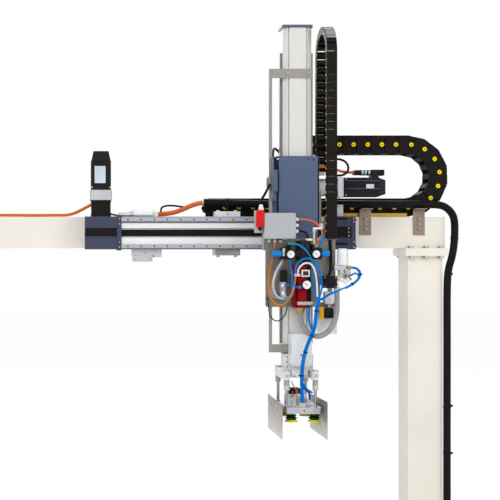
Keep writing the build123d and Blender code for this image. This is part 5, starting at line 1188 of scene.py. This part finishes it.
class GANTRY_OT_lift_dress(bpy.types.Operator):
    """Dresses the carriage and the lift: cover screws, guard screws, motor rings and plates."""
    bl_idname = "gantry.lift_dress"
    bl_label = "Lift"

    def execute(self, context):
        head = sizes().cap_screw / MM
        body = "x_carriage"
        screws("cover_screws", body, [(x, -425, 1686) for x in (-612.7, -591.3)], head * 0.6, 2, "ink")
        places = [(x, -391.5, z) for x, z in ((-697, 2066.5), (-605, 2066.5), (-702, 859))]
        screws("guard_screws", "z_axis", places, head, 2.6)
        screws("carriage_screws", body, [(x, -233, z) for x in (-771, -544) for z in (1308, 1430)], head, 3)
        for name, z in (("motor_rib_high", 1602), ("motor_rib_low", 1567)):
            form(name, body, "violet", (-410, -269.4, z - 1.3), (-262, -268, z + 1.3), 0.5)
        form("lift_plug_elbow", body, "black", (-262, -256, 1627), (-236, -206, 1653), 2)
        collar = [(11.2, 0), (12.4, 1), (12.4, 9), (11.2, 10)]
        for name, y in (("lift_plug_rings", -240), ("sensor_plug_rings", -210)):
            places = [(x, y, 1641) for x in (-338, -324, -308)]
            studs(name, body, "cast", collar, places, RIGHT, slot="gearbox_alu")
        flange = [(38, 0), (38, 1.5), (30, 1.5)]
        lathe("lift_motor_flange", body, "cast", (-424, -225, 1574), RIGHT, flange, 32, slot="gearbox_alu")
        plate("lift_motor_label", body, "label", (-322, -269.2, 1567), (-287, -268, 1587), 2, -0.4)
        screws("lift_motor_screws", body, [(-413, -268, z) for z in (1538, 1610)], head * 0.6, 2)
        return {"FINISHED"}


# Name, place of the stem, its length and the case's radius
GAUGES = (("gauge_left", (-703, -475, 1272.3), 9, 19), ("gauge_right", (-593, -475, 1273.4), 9, 19),
          ("gauge_ejector", (-635.5, -482, 1141), 7, 21))


class GANTRY_OT_pneumatics(bpy.types.Operator):
    """Builds the valves, the ejector, the filter, the gauges and the switch on the lift's plate."""
    bl_idname = "gantry.pneumatics"
    bl_label = "Pneumatics"

    def execute(self, context):
        for replaced, rows in BLOCKS.items():
            for name, finish, low, high, edge, *slot in rows:
                form(name, "z_axis", finish, low, high, edge, replaced, *slot)
        for replaced, rows in ROUNDS.items():
            for name, finish, place, towards, rings, sides, *slot in rows:
                lathe(name, "z_axis", finish, place, towards, rings, sides, replaced, *slot)
        for gauge in GAUGES:
            self.gauge(*gauge)
        plate("display_frame", "z_axis", "white", (-655, -490, 1175), (-620, -482, 1205), 5, -1.2,
              "vacuum_ejector")
        plate("display_screen", "z_axis", "screen", (-649.5, -489.4, 1180.5), (-625.5, -488.6, 1199.5),
              1, -0.2, "vacuum_ejector")
        plate("ejector_face", "z_axis", "ejector", (-664, -483, 1075), (-636, -482, 1118), 2, -0.4)
        self.glands()
        places = [(x, -416, z) for x, z in ((-784, 1428), (-506, 1428), (-784, 1060))]
        screws("plate_screws", "z_axis", places, sizes().cap_screw / MM, 3)
        places = [(x, -455, z) for z in (1170, 1132) for x in (-548, -501)]
        places += [(x, -450, z) for z in (1104, 1061) for x in (-543, -512)]
        screws("valve_screws", "z_axis", places, 2.2, 1.2)
        return {"FINISHED"}

    def gauge(self, name, place, stem, radius):
        """A gauge: case with its rim, white dial, graduation, needle and hub."""
        facts = {"replaced": "gauges", "slot": "gauge_white"}
        case = [(5, 0), (5, stem), (radius - 2, stem), (radius, stem + 2), (radius, stem + 14),
                (radius - 1, stem + 16), (radius - 2.2, stem + 16), (radius - 2.6, stem + 13)]
        lathe(name, "z_axis", "black", place, FRONT, case, 36, **facts)
        face = Vector(place) + FRONT * (stem + 13)
        disc = [(radius - 2.8, 0), (radius - 2.8, 0.6)]
        lathe(name + "_dial", "z_axis", "dial", face, FRONT, disc, 36, **facts)
        face += FRONT * 0.6
        base = facing(metres(face), FRONT)
        inner = radius - 5.5
        tick = soften(block("tick", (-0.4, inner, 0), (0.4, inner + 2.2, 0.3)), 0.1, 1)
        turns = [base @ Matrix.Rotation(math.radians(angle), 4, "Z") for angle in range(-135, 136, 27)]
        settle(repeat(name + "_ticks", tick, turns), "z_axis", "ink", **facts)
        needle = soften(block("needle", (-0.6, -3, 0.4), (0.6, inner - 1, 0.8)), 0.2, 1)
        turns = [base @ Matrix.Rotation(0.9, 4, "Z")]
        settle(repeat(name + "_needle", needle, turns), "z_axis", "ink", **facts)
        lathe(name + "_hub", "z_axis", "ink", face, FRONT, [(2.2, 0), (2, 1.2)], 16, **facts)

    def glands(self):
        """Domed cable glands on the junction box, and the screws of its lid."""
        dome = [(8.8, 0), (9.8, 1), (9.8, 7), (8, 8), (7.5, 14), (5.5, 17)]
        places = [(-678, -452, z) for z in (1424, 1398, 1372)]
        studs("box_glands", "z_axis", "white", dome, places, RIGHT, 12, "box_grey")
        lower = [(7.8, 0), (8.8, 1), (8.8, 6), (7, 7), (6.2, 13)]
        for name, finish, x in (("left", "green", -790), ("middle", "rose", -765), ("right", "brown", -740)):
            lathe("gland_" + name, "z_axis", finish, (x, -452, 1339.5), DOWN, lower, 12, slot="box_grey")
        places = [(-746 + across * 60, -478.5, 1395.25 + up * 47.75) for across in (-1, 1) for up in (-1, 1)]
        screws("lid_screws", "z_axis", places, 3.2, 1.4)


class GANTRY_OT_gripper(bpy.types.Operator):
    """Dresses the gripper: rod bosses, clamp screws and plate screws."""
    bl_idname = "gantry.gripper"
    bl_label = "Gripper"

    def execute(self, context):
        rods = [(x, y) for x in (-718, -594) for y in (-480, -270)]
        boss = [(12.5, 0), (13.5, 1), (13.5, 6), (11.5, 8), (6.8, 8), (6.6, 6.5)]
        studs("rod_bosses", "z_axis", "cast", boss, [(x, y, 766) for x, y in rods], UP, 28, "anodised")
        nut = [(9.5, 0), (10.4, 1), (10.4, 6), (9.5, 7), (6.8, 7)]
        studs("rod_nuts", "z_axis", "steel_z", nut, [(x, y, 613) for x, y in rods], UP, 6)
        collar = [(12, 0), (13.4, 1), (13.4, 5), (12.4, 6), (12.4, 16), (13.4, 17), (13.4, 22), (11, 23)]
        end = [(9, 0), (10, 1), (10, 3), (6, 4), (6, 2)]
        # The rod collars and bar ends take the pale finish with painted shade, darker lower down.
        for side, x in (("left", -718), ("right", -594)):
            lathe(side + "_rod_collar", "z_axis", "white_painted_shade", (x, -480, 708), DOWN, collar, 28)
            lathe(side + "_bar_end", "z_axis", "white_painted_shade", (x, -494, 750), FRONT, end)
        lathe("clear_cylinder", "z_axis", "white", (-690, -441, 640), FRONT, bush(6, 3), 16)
        form("gripper_tag", "z_axis", "green", (-688, -441.5, 652), (-680, -440, 658), 0.5,
             slot="gauge_white")
        form("gripper_plug", "z_axis", "rose", (-672, -441.5, 668), (-662, -440, 684), 0.6,
             slot="red_plastic")
        head = sizes().cap_screw / MM
        places = [(x, -385, z) for x in (-699, -685, -590) for z in (778, 800, 822)]
        places += [(-718, -495, 748), (-594, -495, 748), (-700, -495, 599), (-596, -495, 599)]
        places += [(-676, -440, 742), (-629, -440, 742)]
        screws("yoke_screws", "z_axis", places, head * 0.8, 3.2)
        places = [(x, -473, z) for x in (-688, -614) for z in (797, 919)]
        screws("arm_screws", "z_axis", places, head * 0.6, 1.6)
        for name, x, towards in (("side_plate_screws", -753, LEFT), ("right_plate_screws", -560, RIGHT)):
            places = [(x, y, z) for y in (-450, -300) for z in (594, 604)]
            screws(name, "z_axis", places, head * 0.8, 2.6, towards=towards)
        places = [(x, y, 585.2) for x in (-697, -597) for y in (-470, -280)]
        studs("cup_collars", "z_axis", "zinc", [(11, 0), (12, 1), (12, 4), (10, 5)], places, DOWN)
        return {"FINISHED"}


STEPS = (GANTRY_OT_stage, GANTRY_OT_finishes, GANTRY_OT_cords, GANTRY_OT_chain_plugs, GANTRY_OT_chain_reach,
         GANTRY_OT_beam_axis, GANTRY_OT_lift_dress, GANTRY_OT_pneumatics, GANTRY_OT_gripper)


class GANTRY_PT_panel(bpy.types.Panel):
    """Lists the steps that dress the gantry."""
    bl_idname = "GANTRY_PT_panel"
    bl_label = "Gantry robot"
    bl_space_type = "VIEW_3D"
    bl_region_type = "UI"
    bl_category = "Gantry"

    def draw(self, context):
        layout = self.layout
        for step in STEPS:
            layout.operator(step.bl_idname)
        for group in (context.scene.gantry_colours, context.scene.gantry_sizes):
            for name in group.__annotations__:
                layout.prop(group, name)


CLASSES = (GantryColours, GantrySizes, *STEPS, GANTRY_PT_panel)


def register():
    for made in CLASSES:
        bpy.utils.register_class(made)
    bpy.types.Scene.gantry_colours = PointerProperty(type=GantryColours)
    bpy.types.Scene.gantry_sizes = PointerProperty(type=GantrySizes)


def unregister():
    del bpy.types.Scene.gantry_sizes
    del bpy.types.Scene.gantry_colours
    for made in reversed(CLASSES):
        bpy.utils.unregister_class(made)


def main():
    """Dresses the frame step by step."""
    register()
    for step in STEPS:
        group, name = step.bl_idname.split(".")
        getattr(getattr(bpy.ops, group), name)()


if __name__ == "__main__":
    main()
